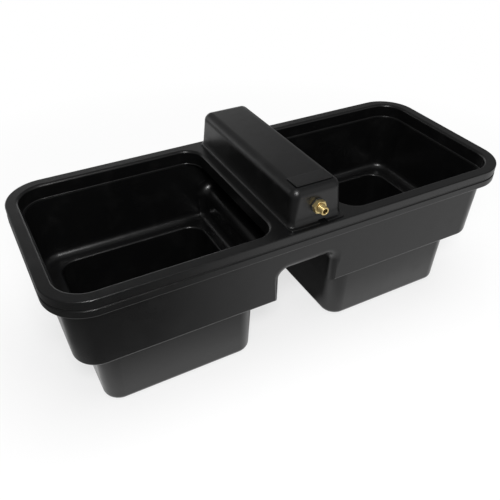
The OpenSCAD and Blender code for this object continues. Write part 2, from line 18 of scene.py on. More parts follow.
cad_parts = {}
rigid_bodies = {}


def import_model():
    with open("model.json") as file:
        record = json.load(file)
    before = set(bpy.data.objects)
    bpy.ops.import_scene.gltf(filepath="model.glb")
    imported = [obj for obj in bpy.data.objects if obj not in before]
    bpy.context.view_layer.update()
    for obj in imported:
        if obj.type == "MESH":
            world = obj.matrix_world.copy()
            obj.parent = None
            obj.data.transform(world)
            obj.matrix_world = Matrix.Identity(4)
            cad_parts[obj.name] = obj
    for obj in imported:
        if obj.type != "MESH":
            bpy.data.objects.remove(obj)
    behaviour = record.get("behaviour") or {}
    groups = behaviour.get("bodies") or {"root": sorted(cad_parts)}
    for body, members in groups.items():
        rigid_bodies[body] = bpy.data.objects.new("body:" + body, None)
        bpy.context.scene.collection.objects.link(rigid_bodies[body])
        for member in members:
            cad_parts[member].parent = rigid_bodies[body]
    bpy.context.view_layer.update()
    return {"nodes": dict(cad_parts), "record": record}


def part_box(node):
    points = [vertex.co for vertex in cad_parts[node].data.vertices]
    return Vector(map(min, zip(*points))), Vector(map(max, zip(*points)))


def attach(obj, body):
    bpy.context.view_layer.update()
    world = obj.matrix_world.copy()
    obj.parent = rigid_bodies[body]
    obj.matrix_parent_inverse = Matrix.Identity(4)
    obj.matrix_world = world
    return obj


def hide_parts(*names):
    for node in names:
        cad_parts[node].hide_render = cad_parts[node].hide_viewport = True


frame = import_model()
bpy.ops.object.select_all(action="DESELECT")
mm = 0.001

# %% [markdown]
# ## Writing shader maths as plain sums
#
# A material is a graph of small nodes. Dragging them about by hand is slow, so this step makes a
# short-hand: a `Field` is a value that varies over the surface, and adding or multiplying two fields lays
# the Math node for it. Every other kind of node is laid by one method, `node`, which is told the node's
# type, its settings and what goes into its sockets.

# %% A field, and the finish it belongs to
class Field:
    """A shader socket that works in sums as a number does."""

    def __init__(self, finish, socket):
        self.finish = finish
        self.socket = socket

    def maths(self, operation, first, second):
        return self.finish.node("ShaderNodeMath", {"operation": operation}, {0: first, 1: second})

    def __add__(self, other):
        return self.maths("ADD", self, other)

    def __radd__(self, other):
        return self.maths("ADD", other, self)

    def __sub__(self, other):
        return self.maths("SUBTRACT", self, other)

    def __rsub__(self, other):
        return self.maths("SUBTRACT", other, self)

    def __mul__(self, other):
        return self.maths("MULTIPLY", self, other)

    def __pow__(self, other):
        return self.maths("POWER", self, other)

    def __abs__(self):
        return self.maths("ABSOLUTE", self, 0.0)


class Finish:
    """A material or a world, its main shader and the nodes that feed it."""

    def __init__(self, owner, shader="Principled BSDF", place="Object"):
        owner.use_nodes = True
        self.owner = owner
        self.tree = owner.node_tree
        self.surface = self.tree.nodes[shader]
        self.place = self.node("ShaderNodeTexCoord", {}, {}, place)

    def node(self, kind, settings, inputs, output=0):
        made = self.tree.nodes.new(kind)
        for name, value in settings.items():
            setattr(made, name, value)
        for socket, value in inputs.items():
            self.plug(made.inputs[socket], value)
        return Field(self, made.outputs[output])

    def plug(self, socket, value):
        if isinstance(value, Field):
            self.tree.links.new(value.socket, socket)
        else:
            socket.default_value = value

    def noise(self, scale, detail=2.0, roughness=0.5, place=None):
        """Cloudy noise from 0 to 1 with blobs about 1 / scale metres wide."""
        inputs = {"Vector": place or self.place, "Scale": scale, "Detail": detail, "Roughness": roughness}
        return self.node("ShaderNodeTexNoise", {}, inputs, "Fac")

    def stretched(self, size):
        """The place, scaled by a different factor along each axis."""
        return self.node("ShaderNodeMapping", {}, {"Vector": self.place, "Scale": size})

    def parts(self, vector):
        """The three numbers of a vector, each as a field of its own."""
        return [self.node("ShaderNodeSeparateXYZ", {}, {"Vector": vector}, axis) for axis in "XYZ"]

    def rays(self):
        """Whether a ray comes from the camera, from gloss or through glass, as 0 or 1."""
        kinds = ("Camera", "Glossy", "Transmission")
        return [self.node("ShaderNodeLightPath", {}, {}, f"Is {kind} Ray") for kind in kinds]

    def ramp(self, field, low, high, bottom=0.0, top=1.0):
        """Turns low..high into bottom..top, and holds it there outside."""
        inputs = {"Value": field, "From Min": low, "From Max": high, "To Min": bottom, "To Max": top}
        return self.node("ShaderNodeMapRange", {}, inputs)

    def blend(self, amount, first, second):
        """A colour that goes from the first to the second."""
        inputs = {"Factor": amount, "A": first, "B": second}
        return self.node("ShaderNodeMix", {"data_type": "RGBA"}, inputs, "Result")

    def set(self, **sockets):
        for name, value in sockets.items():
            self.plug(self.surface.inputs[name.replace("_", " ")], value)

    def relief(self, height, depth, below=None):
        """Bumps of the given depth in metres, laid over any coarser bumps below."""
        inputs = {"Height": height, "Strength": 1.0, "Distance": depth}
        if below:
            inputs["Normal"] = below
        return self.node("ShaderNodeBump", {}, inputs)


print("shader short-hand ready")

# %% [markdown]
# ## Satin black plastic
#
# The tub and the hood are thick black polyethylene. It is never quite black: it has a satin skin with a
# fine grain from the mould, a faint orange peel, a slow ripple where the plastic shrank, and dull patches
# where it has been rubbed. Several sizes of noise give those, and they mostly change the roughness and the
# relief, because on black plastic it is the shine that the eye reads. The float and the plugs are mixed in
# the same way, a little paler.

# %% Mix the black plastics
def moulded_plastic(name, shade, gloss, grain):
    finish = Finish(bpy.data.materials.new(name))
    cloud = finish.noise(7.0, detail=3.0)
    rubbed = finish.ramp(finish.noise(23.0, detail=5.0, roughness=0.62), 0.5, 0.75)
    level_lines = finish.stretched((40.0, 40.0, 420.0))
    streak = finish.ramp(finish.noise(1.0, detail=4.0, roughness=0.6, place=level_lines), 0.58, 0.8)
    speck = finish.noise(1700.0)
    dark = (shade * 0.86, shade * 0.88, shade * 0.92, 1)
    pale = (shade * 1.18, shade * 1.19, shade * 1.22, 1)
    worn = (shade * 2.6, shade * 2.55, shade * 2.5, 1)
    colour = finish.blend(cloud, dark, pale)
    colour = finish.blend(rubbed * 0.35 + streak * 0.12, colour, worn)
    ripple = finish.relief(finish.noise(11.0, detail=1.0), 0.5 * mm)
    peel = finish.relief(finish.noise(330.0), grain, ripple)
    skin = finish.relief(speck, grain, peel)
    roughness = gloss + cloud * 0.06 + rubbed * 0.12 + streak * 0.10 + (speck - 0.5) * 0.08
    finish.set(Base_Color=colour, Roughness=roughness, Normal=skin)
    return finish.owner


tub_black = moulded_plastic("satin_black_tub", shade=0.0028, gloss=0.26, grain=0.018 * mm)
hood_black = moulded_plastic("satin_black_hood", shade=0.0030, gloss=0.32, grain=0.030 * mm)
float_black = moulded_plastic("smooth_black_float", shade=0.035, gloss=0.30, grain=0.010 * mm)
plug_black = moulded_plastic("black_plug", shade=0.040, gloss=0.42, grain=0.025 * mm)
print("black plastics:", tub_black.name, hood_black.name, float_black.name, plug_black.name)

# %% [markdown]
# ## Brass, steel, rubber and nylon
#
# A lathe leaves fine rings on brass. They run round the inlet's axis on the flat faces as well as on the
# cylinders, so the noise is read at the distance from that axis and at the place along it, and hardly at
# all round it. Cast or tumbled metal has a fine grain instead, and all of it dulls in cloudy patches.
# Rubber and nylon are plain, with a fine grain of their own.

# %% Mix the metals
FINE_RINGS = 40
inlet_middle = (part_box("backnut")[0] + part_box("backnut")[1]) / 2


def metal(name, bright, dull, gloss, on_lathe=False):
    finish = Finish(bpy.data.materials.new(name))
    if on_lathe:
        shift = {"Vector": finish.place, "Location": (0, 0, -inlet_middle.z)}
        across, along, up = finish.parts(finish.node("ShaderNodeMapping", {}, shift))
        radius = (across * across + up * up) ** 0.5
        rings = {"X": radius * FINE_RINGS, "Y": along * FINE_RINGS, "Z": across}
        place = finish.node("ShaderNodeCombineXYZ", {}, rings)
        lines = finish.noise(130.0, detail=3.0, roughness=0.6, place=place)
    else:
        lines = finish.noise(1500.0)
    cloud = finish.ramp(finish.noise(120.0, detail=4.0, roughness=0.6), 0.35, 0.75)
    colour = finish.blend(cloud * 0.8, bright, dull)
    roughness = gloss + cloud * 0.16 + (lines - 0.5) * 0.1
    relief = finish.relief(lines, 0.02 * mm)
    finish.set(Base_Color=colour, Metallic=1.0, Roughness=roughness, Normal=relief)
    return finish.owner


turned_brass = metal("turned_brass", (0.80, 0.63, 0.29, 1), (0.56, 0.41, 0.17, 1), 0.26, on_lathe=True)
cast_brass = metal("cast_brass", (0.70, 0.53, 0.24, 1), (0.47, 0.34, 0.14, 1), 0.38)
tumbled_brass = metal("tumbled_brass", (0.86, 0.71, 0.36, 1), (0.72, 0.57, 0.27, 1), 0.46)
plain_steel = metal("stainless_steel", (0.66, 0.66, 0.64, 1), (0.50, 0.50, 0.49, 1), 0.28)
print("metals:", turned_brass.name, cast_brass.name, tumbled_brass.name, plain_steel.name)


# %% Mix the rubber and the nylon
def soft_solid(name, shade, gloss, grain):
    finish = Finish(bpy.data.materials.new(name))
    cloud = finish.noise(160.0, detail=3.0)
    speck = finish.noise(2600.0)
    dark = tuple(0.85 * part for part in shade) + (1,)
    pale = tuple(1.12 * part for part in shade) + (1,)
    colour = finish.blend(cloud, dark, pale)
    finish.set(Base_Color=colour, Roughness=gloss + cloud * 0.1, Normal=finish.relief(speck, grain))
    return finish.owner


black_rubber = soft_solid("black_rubber", (0.012, 0.012, 0.012), 0.72, 0.02 * mm)
ivory_nylon = soft_solid("ivory_nylon", (0.78, 0.74, 0.63), 0.40, 0.008 * mm)
print("soft solids:", black_rubber.name, ivory_nylon.name)

# %% [markdown]
# ## Working on one piece at a time
#
# Blender's tools act on all that is selected, so each step selects one piece alone before it does anything.
# These helpers see to that: they add a primitive, open a piece for editing, keep only the points in a
# certain place, close a mesh, apply a modifier, and move a form to its place while its object stays at the
# origin.

# %% Select, add, edit and place
MERGE = 0.002 * mm


def make_active(piece):
    bpy.ops.object.select_all(action="DESELECT")
    piece.select_set(True)
    bpy.context.view_layer.objects.active = piece


def fresh(name, add, **settings):
    """A new primitive, named, with nothing else selected."""
    bpy.ops.object.select_all(action="DESELECT")
    add(**settings)
    made = bpy.context.active_object
    made.name = name
    return made


@contextmanager
def editing(piece):
    """Opens a piece in edit mode with all of it selected, and closes it again."""
    make_active(piece)
    bpy.ops.object.mode_set(mode="EDIT")
    bpy.ops.mesh.select_all(action="SELECT")
    yield
    bpy.ops.object.mode_set(mode="OBJECT")


def only_selected(test):
    """Narrows the selection in edit mode to the selected points that pass a test."""
    mesh = bmesh.from_edit_mesh(bpy.context.edit_object.data)
    kept = [point for point in mesh.verts if point.select and test(point.co)]
    for point in mesh.verts:
        point.select_set(False)
    for point in kept:
        point.select_set(True)
    mesh.select_flush(True)
    bmesh.update_edit_mesh(bpy.context.edit_object.data)


def close_mesh():
    """Fills the open ends of the mesh being edited, and turns its faces outwards."""
    bpy.ops.mesh.select_all(action="DESELECT")
    bpy.ops.mesh.select_non_manifold()
    bpy.ops.mesh.fill_holes(sides=0)
    bpy.ops.mesh.select_all(action="SELECT")
    bpy.ops.mesh.normals_make_consistent(inside=False)


def applied(piece, kind, **settings):
    """Adds a modifier to a piece and applies it."""
    step = piece.modifiers.new(kind.lower(), kind)
    for name, value in settings.items():
        setattr(step, name, value)
    make_active(piece)
    bpy.ops.object.modifier_apply(modifier=step.name)
    return piece


def rotation(degrees, axis):
    return Matrix.Rotation(math.radians(degrees), 4, axis)


def placed(piece, place):
    """Moves and turns a piece's mesh, while its object stays at the origin."""
    make_active(piece)
    piece.matrix_world = place
    bpy.ops.object.transform_apply()
    return piece


print("points closer than", MERGE / mm, "mm are merged")

# %% [markdown]
# ## Rounded outlines, bridged one above the other
#
# Nearly every wall of the trough is a rounded rectangle that changes a little on its way up: it steps in,
# leans, or rolls over an edge. So the main tool here draws one rounded rectangle at each height and bridges
# them all. A profile is a list of pairs: how far the outline has grown, and at which height.

# %% The outline and the loft
CORNER_STEPS = 18
EDGE_STEPS = 6
LEAST_ROUND = 0.5 * mm
HAIR = 0.01 * mm


def draw_outline(plan, grow, height, lean=0.0, rounder=0.0):
    """Adds one rounded rectangle to the mesh being edited.

    lean draws in its two ends, and rounder eases its corners.
    """
    left, right, half, left_round, right_round = plan
    middle = ((left + right) / 2, 0, height)
    bpy.ops.mesh.select_all(action="DESELECT")
    bpy.ops.mesh.primitive_plane_add(size=1, location=middle)
    size = (right - left + 2 * (grow - lean), 2 * (half + grow), 1)
    bpy.ops.transform.resize(value=size, center_override=middle)
    for side, radius in ((-1, left_round), (1, right_round)):
        bpy.ops.mesh.select_linked()
        only_selected(lambda co: (co.x - middle[0]) * side > 0)
        if radius is not None:
            offset = max(radius + grow + rounder, LEAST_ROUND)
            bpy.ops.mesh.bevel(affect="VERTICES", offset=offset, segments=CORNER_STEPS)


def rising(profile):
    """Lifts each height a hair above the one before, so that no two outlines lie in one plane."""
    done = []
    for grow, height, *rest in profile:
        if done:
            height = max(height, done[-1][1] + HAIR)
        done.append((grow, height, *rest))
    return done


def loft(name, plan, profile):
    """A closed form bridged through a plan's outlines, lowest first."""
    form = fresh(name, bpy.ops.mesh.primitive_plane_add, size=1)
    with editing(form):
        bpy.ops.mesh.delete(type="VERT")
        for step in rising(profile):
            draw_outline(plan, *step)
        bpy.ops.mesh.select_all(action="SELECT")
        bpy.ops.mesh.delete(type="ONLY_FACE")
        bpy.ops.mesh.select_all(action="SELECT")
        bpy.ops.mesh.bridge_edge_loops()
        close_mesh()
    return form


def roll(grow, height, radius, start, end, steps=EDGE_STEPS):
    """The steps of a rounded edge, from one angle to another, about its centre."""
    turns = [math.radians(start + (end - start) * i / steps) for i in range(steps + 1)]
    return [(grow + radius * math.cos(turn), height + radius * math.sin(turn)) for turn in turns]


def low_edge(grow, height, radius, steps=EDGE_STEPS):
    """A rounded edge from a level face underneath to the wall above it."""
    return roll(grow - radius, height + radius, radius, -90, 0, steps)


def top_edge(grow, height, radius, steps=EDGE_STEPS):
    """A rounded edge from a wall to the level face on top of it."""
    return roll(grow - radius, height - radius, radius, 0, 90, steps)


def flared_edge(grow, height, radius, steps=EDGE_STEPS):
    """A wall that flares outwards into a level face at its top."""
    return roll(grow + radius, height - radius, radius, 180, 90, steps)


def grown(plan, by):
    left, right, half, left_round, right_round = plan
    return (left - by, right + by, half + by, left_round + by, right_round + by)


def both_sides(name, plan, profile):
    """The same loft on the right and, mirrored, on the left."""
    left, right, half, left_round, right_round = plan
    mirrored = (-right, -left, half, right_round, left_round)
    return loft(name, plan, profile), loft(name, mirrored, profile)


print("loft ready,", CORNER_STEPS, "steps to a corner")

# %% [markdown]
# ## Joining and cutting forms
#
# The tub is one moulding, so its forms are joined and hollowed with Boolean modifiers, applied one after
# another as a pattern maker would add and carve. Each tool object is thrown away once it has been used.

# %% Join, cut and smooth
def combine(operation, piece, *tools):
    for tool in tools:
        applied(piece, "BOOLEAN", operation=operation, solver="MANIFOLD", object=tool)
        bpy.data.objects.remove(tool)
    return piece


def join(piece, *tools):
    return combine("UNION", piece, *tools)


def cut(piece, *tools):
    return combine("DIFFERENCE", piece, *tools)


def smooth(piece, angle=30.0):
    """Shades all but the sharp edges smoothly, and lets the large faces set the direction."""
    with editing(piece):
        bpy.ops.mesh.remove_doubles(threshold=MERGE)
    bpy.ops.object.shade_smooth_by_angle(angle=math.radians(angle))
    return applied(piece, "WEIGHTED_NORMAL", keep_sharp=True)


def triangles(piece):
    return sum(len(face.vertices) - 2 for face in piece.data.polygons)


def finish_piece(piece, name, body, material, node):
    """Names a piece, gives it its finish and body, and hides the solid it stands for."""
    piece.name = name
    piece.data.name = name
    piece.data.materials.clear()
    piece.data.materials.append(material)
    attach(piece, body)
    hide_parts(node)
    print(name, "rides on", body, "with", triangles(piece), "triangles")


print("joining tools ready")

# %% [markdown]
# ## The tub: rim and outside walls
#
# Seen from outside, the tub is a flat rim with a hanging skirt, an upper body that steps in under the skirt
# and leans in on its way down, and two narrower lower bowls that it stands on. The skirt ends in a rounded
# lip with a groove above it, and it is open below, so a channel is cut into it from underneath.

# %% Sizes of the tub
LIP_OUT = 0.5 * mm
WALL = 6 * mm
RIM_ROUND = 80 * mm
RIM_FACE = 25 * mm
RIM_EDGE = 2.5 * mm
MOUTH_EDGE = 6 * mm
SKIRT_H = 37 * mm
SKIRT_T = 5 * mm
LIP_H = 16 * mm
LIP_TOP_EDGE = 0.8 * mm
LIP_LOW_EDGE = 4 * mm
GROOVE_D = 1.5 * mm
GROOVE_W = 2.5 * mm
GROOVE_EASE = 0.2 * mm
GROOVE_EASE_H = 2.25 * mm
GROOVE_END_H = 3.3 * mm
CHANNEL_ROUND = 3 * mm
BAND_H = 32 * mm
BAND_IN = 4.5 * mm
BAND_SOFT = 2 * mm
UPPER_DRAFT = 6 * mm
SHELF_Z = 154 * mm
SHELF_EDGE = 7 * mm
SHELF_COVE = 18 * mm
FLOOR_ROUND = 12 * mm
CUT = 1 * mm

tub_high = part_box("tub")[1]
hood_low, hood_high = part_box("hood")
rim_x, rim_y, rim_z = tub_high.x - LIP_OUT, tub_high.y - LIP_OUT, hood_low.z
mouth_x, mouth_y, mouth_round = rim_x - RIM_FACE, rim_y - RIM_FACE, RIM_ROUND - RIM_FACE
deck_z = rim_z - WALL
skirt_z = rim_z - SKIRT_H
lip_z = skirt_z + LIP_H
groove_top = lip_z + GROOVE_W
band_z = rim_z - BAND_H
shelf_top = SHELF_Z + WALL
rim_plan = (-rim_x, rim_x, rim_y, RIM_ROUND, RIM_ROUND)
body_plan = grown((-mouth_x, mouth_x, mouth_y, mouth_round, mouth_round), WALL)
print(f"rim {2000 * rim_x:.0f} x {2000 * rim_y:.0f} mm, {1000 * rim_z:.0f} mm high")

# %% Rim with its lip, groove and channel
tub = loft(
    "tub",
    rim_plan,
    low_edge(LIP_OUT, skirt_z, LIP_LOW_EDGE)
    + top_edge(LIP_OUT, lip_z, LIP_TOP_EDGE)
    + roll(0, lip_z + GROOVE_D, GROOVE_D, 270, 180, 3)
    + roll(0, groove_top, GROOVE_D, 180, 120, 3)
    + [(-GROOVE_EASE, groove_top + GROOVE_EASE_H), (0, groove_top + GROOVE_END_H)]
    + top_edge(0, rim_z, RIM_EDGE),
)
channel = [(-SKIRT_T, skirt_z - CUT)] + top_edge(-SKIRT_T, deck_z, CHANNEL_ROUND)
cut(tub, loft("channel", rim_plan, channel))
print("rim:", triangles(tub), "triangles")

# %% [markdown]
# The lower bowls meet the shelf above them in a small hollow fillet, which catches a thin line of light
# along the whole step. It is drawn straight into the lower bowl's profile as a quarter circle that opens
# outwards.

# %% Upper body and lower bowls
FOOT_BRIDGE = 33 * mm
FOOT_SIDE = 29.5 * mm
FOOT_END = 37 * mm
FOOT_ROUND = 42 * mm
FOOT_EDGE = 14 * mm
FOOT_DRAFT = 6 * mm
FOOT_FILLET = 4 * mm
ARCH_HALF = 61 * mm

shelf_x, shelf_y = body_plan[1] - WALL - BAND_IN, body_plan[2] - WALL - BAND_IN
foot_in, foot_out = ARCH_HALF + FOOT_BRIDGE, shelf_x - FOOT_END
foot_plan = (foot_in, foot_out, shelf_y - FOOT_SIDE, FOOT_ROUND, FOOT_ROUND)
shelf_grow = -BAND_IN - UPPER_DRAFT

upper = loft(
    "upper",
    body_plan,
    low_edge(shelf_grow, SHELF_Z, SHELF_EDGE, 9)
    + [(-BAND_IN, band_z - WALL - BAND_IN), (-BAND_SOFT, band_z - WALL - BAND_SOFT), (0, band_z - WALL)]
    + [(0, deck_z + WALL / 2)],
)
foot_profile = (
    low_edge(-FOOT_DRAFT, 0, FOOT_EDGE, 9)
    + flared_edge(0, SHELF_Z, FOOT_FILLET)
    + [(FOOT_FILLET, shelf_top - CUT)]
)
join(tub, upper, *both_sides("foot", foot_plan, foot_profile))
print("outside walls:", triangles(tub), "triangles")

# %% [markdown]
# ## The tub: hollows
#
# Inside, each mouth drops as an upright band, steps out a little, and then runs down to a shelf and into
# the lower bowl. Under the deck the two bowls are joined by a passage, and the water crosses a saddle
# there, which is the top of the arch underneath. A hollow cove runs along the saddle's foot: it is what a
# low block keeps when a basin is cut from it on either side. Both are taken away from the hollow before the
# hollow is cut, so they stay standing.

# %% Saddle between the bowls
SADDLE_FLARE = 24 * mm
ARCH_ROUND = 18 * mm
ARCH_DROP = 110 * mm
ARCH_BELOW = 40 * mm
SLIVER = 0.1 * mm
UPRIGHT = Matrix(((0, 1, 0, 0), (0, 0, 1, 0), (1, 0, 0, 0), (0, 0, 0, 1)))
arch_z = rim_z - ARCH_DROP


def arch(name, half, top, corner, reach, flare, beyond):
    """An arch through the tub from front to back, whose two ends flare out."""
    plan = (-ARCH_BELOW, top, half, None, corner)
    front = [(flare, -reach - beyond)] + roll(flare, flare - reach, flare, 270, 180, 9)
    back = flared_edge(0, reach, flare, 9) + [(flare, reach + beyond)]
    return placed(loft(name, plan, front + back), UPRIGHT)


inside_y = shelf_y + UPPER_DRAFT / 2 - WALL
saddle = arch("saddle", ARCH_HALF + WALL, arch_z + WALL, ARCH_ROUND + WALL, inside_y, SADDLE_FLARE, WALL)


def block(name, low, high):
    made = fresh(name, bpy.ops.mesh.primitive_cube_add, size=1, location=(low + high) / 2, scale=high - low)
    bpy.ops.object.transform_apply()
    return made


cove_reach = Vector((ARCH_HALF + WALL + 2 * SADDLE_FLARE, inside_y + CUT, 0))
cove_low, cove_high = Vector((0, 0, shelf_top - SLIVER)), Vector((0, 0, shelf_top + SHELF_COVE))
saddle_foot = block("saddle_foot", cove_low - cove_reach, cove_high + cove_reach)
basin_plan = (ARCH_HALF + WALL, cove_reach.x + 2 * SADDLE_FLARE, inside_y, SADDLE_FLARE, SADDLE_FLARE)
basin = low_edge(0, shelf_top - 2 * SLIVER, SHELF_COVE, 12) + [(0, cove_high.z + CUT)]
cut(saddle_foot, *both_sides("basin", basin_plan, basin))
print("saddle top at", round(1000 * (arch_z + WALL), 1), "mm")

# %% Hollows, mouths and passage
SHELF_LIP = 5 * mm
DECK_BARE = 20 * mm
DECK_ROUND = 38 * mm

deck_x = hood_high.x + DECK_BARE
mouth_plan = (deck_x, mouth_x, mouth_y, DECK_ROUND, mouth_round)
hollow = loft(
    "hollow",
    body_plan,
    low_edge(shelf_grow - WALL, shelf_top, SHELF_COVE, 12)
    + top_edge(-WALL - BAND_IN, band_z, BAND_SOFT, 4),
)
cut(hollow, saddle, saddle_foot)
foot_hollow = (
    low_edge(-WALL - FOOT_DRAFT, WALL, FLOOR_ROUND, 9)
    + flared_edge(-WALL, shelf_top, SHELF_LIP, 8)
    + [(-WALL + SHELF_LIP, shelf_top + CUT)]
)
mouth = (
    [(-BAND_SOFT, band_z - CUT)]
    + low_edge(0, band_z, BAND_SOFT, 4)
    + flared_edge(0, rim_z, MOUTH_EDGE)
    + [(MOUTH_EDGE, rim_z + CUT)]
)
cut(tub, hollow)
cut(tub, *both_sides("well", foot_plan, foot_hollow))
cut(tub, *both_sides("mouth", mouth_plan, mouth))
passage_x, passage_y, passage_round = deck_x - WALL, mouth_y - WALL - BAND_IN, DECK_ROUND - WALL
passage_plan = (-passage_x, passage_x, passage_y, passage_round, passage_round)
passage_low = band_z - 2 * CUT
cut(tub, loft("passage", passage_plan, [(0, passage_low), (0, deck_z)]))
trim_x, trim_y = deck_x + BAND_SOFT, mouth_y - DECK_ROUND
trim_low, trim_high = Vector((-trim_x, -trim_y, passage_low)), Vector((trim_x, trim_y, band_z + BAND_SOFT))
cut(tub, block("trim", trim_low, trim_high))
print("hollowed tub:", triangles(tub), "triangles")

# %% [markdown]
# ## The tub: arch, float opening and drain holes
#
# The arch is open from front to back and flares where it meets the walls. The deck has a long opening for
# the float, with an upstand round it that the hood drops over. Each lower bowl has a drain hole in its
# floor.

# %% Arch, upstand and holes
ARCH_FLARE = 24 * mm
COLLAR_T = 4 * mm
COLLAR_SOFT = 1.2 * mm
HATCH_ROUND = 10 * mm
HATCH_HALF = 46.49 * mm
HATCH_FRONT = -177 * mm
HATCH_BACK = 92.7 * mm
DRAIN_R = 25 * mm

turn_left = rotation(90, "Z")
hatch_plan = (HATCH_FRONT, HATCH_BACK, HATCH_HALF, HATCH_ROUND, HATCH_ROUND)


def turned_loft(name, plan, profile):
    """A loft whose plan runs from front to back."""
    return placed(loft(name, plan, profile), turn_left)


collar_top = tub_high.z
collar = [(COLLAR_T, deck_z + WALL / 2)] + top_edge(COLLAR_T, collar_top, COLLAR_SOFT, 4)
join(tub, turned_loft("collar", hatch_plan, collar))
cut(tub, arch("under", ARCH_HALF, arch_z, ARCH_ROUND, shelf_y + UPPER_DRAFT / 2, ARCH_FLARE, RIM_FACE))
opening = [(0, deck_z - 2 * CUT)] + flared_edge(0, collar_top, COLLAR_SOFT, 4)
cut(tub, turned_loft("opening", hatch_plan, opening + [(COLLAR_SOFT, collar_top + CUT)]))
foot_middle = (foot_in + foot_out) / 2
cylinder = bpy.ops.mesh.primitive_cylinder_add
drain = {"vertices": 64, "radius": DRAIN_R, "depth": 2 * (WALL + CUT)}
for x in (-foot_middle, foot_middle):
    cut(tub, fresh("drain", cylinder, location=(x, 0, 0), **drain))
finish_piece(smooth(tub), "trough_tub", "tub", tub_black, "tub")

# %% [markdown]
# ## The hood
#
# The hood is a plain box with rounded edges that drops over the upstand. It stands on a thin flange that
# runs all round it and stands out furthest in front. Its walls spread a little where they meet the flange,
# its long sides lean in, and its corners get rounder on the way up. A plain pad is raised on its top. It
# falls a little to the back, and has a shadow gap under its front and its ends. A notch in the flange is
# there to prise the hood up. The hood is a shell, so a smaller copy of its form is taken out of it.

# %% Hood
HOOD_WALL = 4 * mm
FLANGE = 4 * mm
FLANGE_T = 2.5 * mm
TOE = 6.5 * mm
TOE_ROUND = 10 * mm
SPREAD = 2.5 * mm
SPREAD_H = 12 * mm
SPREAD_SHARE = 0.9
HOOD_EDGE = 19 * mm
HOOD_ROUND = 10 * mm
HOOD_ROUNDER = 8 * mm
HOOD_LEAN = 3 * mm
FLANGE_SOFT = 0.8 * mm
PAD = Vector((79 * mm, 34 * mm, 2 * mm))
PAD_X = -0.5 * mm
PAD_BACK = 13 * mm
PAD_SOFT = 1.1 * mm
PAD_ROUND = 2 * mm
PAD_FALL = 0.9 * mm
PAD_ROOT = 3.2 * mm
PAD_LIP = 1.5 * mm
PAD_UNDER = 2.5 * mm
PAD_GAP = 1.3 * mm
PAD_GAP_D = 2.8 * mm
NOTCH = Vector((16 * mm, 15 * mm, 4 * mm))
NOTCH_X = 11 * mm
INLET_R = 9.2 * mm

hood_top = hood_high.z - PAD.z
hood_front, hood_back = hood_low.y + TOE + FLANGE, hood_high.y - FLANGE
hood_middle, hood_half = (hood_front + hood_back) / 2, (hood_back - hood_front) / 2
hood_plan = (hood_low.x + FLANGE, hood_high.x - FLANGE, hood_half, HOOD_ROUND, HOOD_ROUND)
flange_plan = (hood_low.y, hood_high.y, hood_high.x, TOE_ROUND, HOOD_ROUND + FLANGE)


def leaning(profile):
    """Adds each height's lean of the long sides, and how much rounder the corners are there."""
    rise = hood_top - HOOD_EDGE - rim_z
    shares = [min(max((z - rim_z) / rise, 0), 1) for grow, z in profile]
    return [(grow, z, HOOD_LEAN * up, HOOD_ROUNDER * up) for (grow, z), up in zip(profile, shares)]


flange_top = rim_z + FLANGE_T
spread_r = (SPREAD_H**2 + SPREAD**2) / (2 * SPREAD)
spread_turn = math.degrees(math.asin(SPREAD_H / spread_r))
hood = loft(
    "hood",
    hood_plan,
    leaning(
        [(SPREAD + FLANGE_SOFT, rim_z)]
        + roll(SPREAD + FLANGE_SOFT, flange_top + FLANGE_SOFT, FLANGE_SOFT, 270, 180 + spread_turn, 4)
        + roll(spread_r, flange_top + SPREAD_H, spread_r, 180 + SPREAD_SHARE * spread_turn, 180, 6)
        + top_edge(0, hood_top, HOOD_EDGE, 12)
    ),
)
flange = turned_loft("flange", flange_plan, [(0, rim_z)] + top_edge(0, flange_top, FLANGE_SOFT, 4))
inside = [(-HOOD_WALL, rim_z - CUT)]
inside += top_edge(-HOOD_WALL, hood_top - HOOD_WALL, HOOD_EDGE - HOOD_WALL, 10)
hood_hollow = loft("hood_hollow", hood_plan, leaning(inside))
for form in (hood, hood_hollow):
    placed(form, Matrix.Translation((0, hood_middle, 0)))
join(hood, flange)
print("hood form:", triangles(hood), "triangles")


# %% Pad, notch and inlet hole
STRAIGHT = 0.9


def soften(piece, test, width, steps=3):
    """Bevels the edges whose middle and direction pass a test."""
    with editing(piece):
        bpy.ops.mesh.select_all(action="DESELECT")
        bpy.ops.mesh.select_mode(type="EDGE")
        mesh = bmesh.from_edit_mesh(piece.data)
        for edge in mesh.edges:
            first, second = (point.co for point in edge.verts)
            edge.select_set(test((first + second) / 2, (second - first).normalized()))
        bmesh.update_edit_mesh(piece.data)
        bpy.ops.mesh.bevel(offset=width, segments=steps, affect="EDGES")
        bpy.ops.mesh.select_mode(type="VERT")


def at_inlet(y):
    """Puts local heights along the inlet, counted inwards from y."""
    return Matrix.Translation((0, y, inlet_middle.z)) @ rotation(-90, "X")


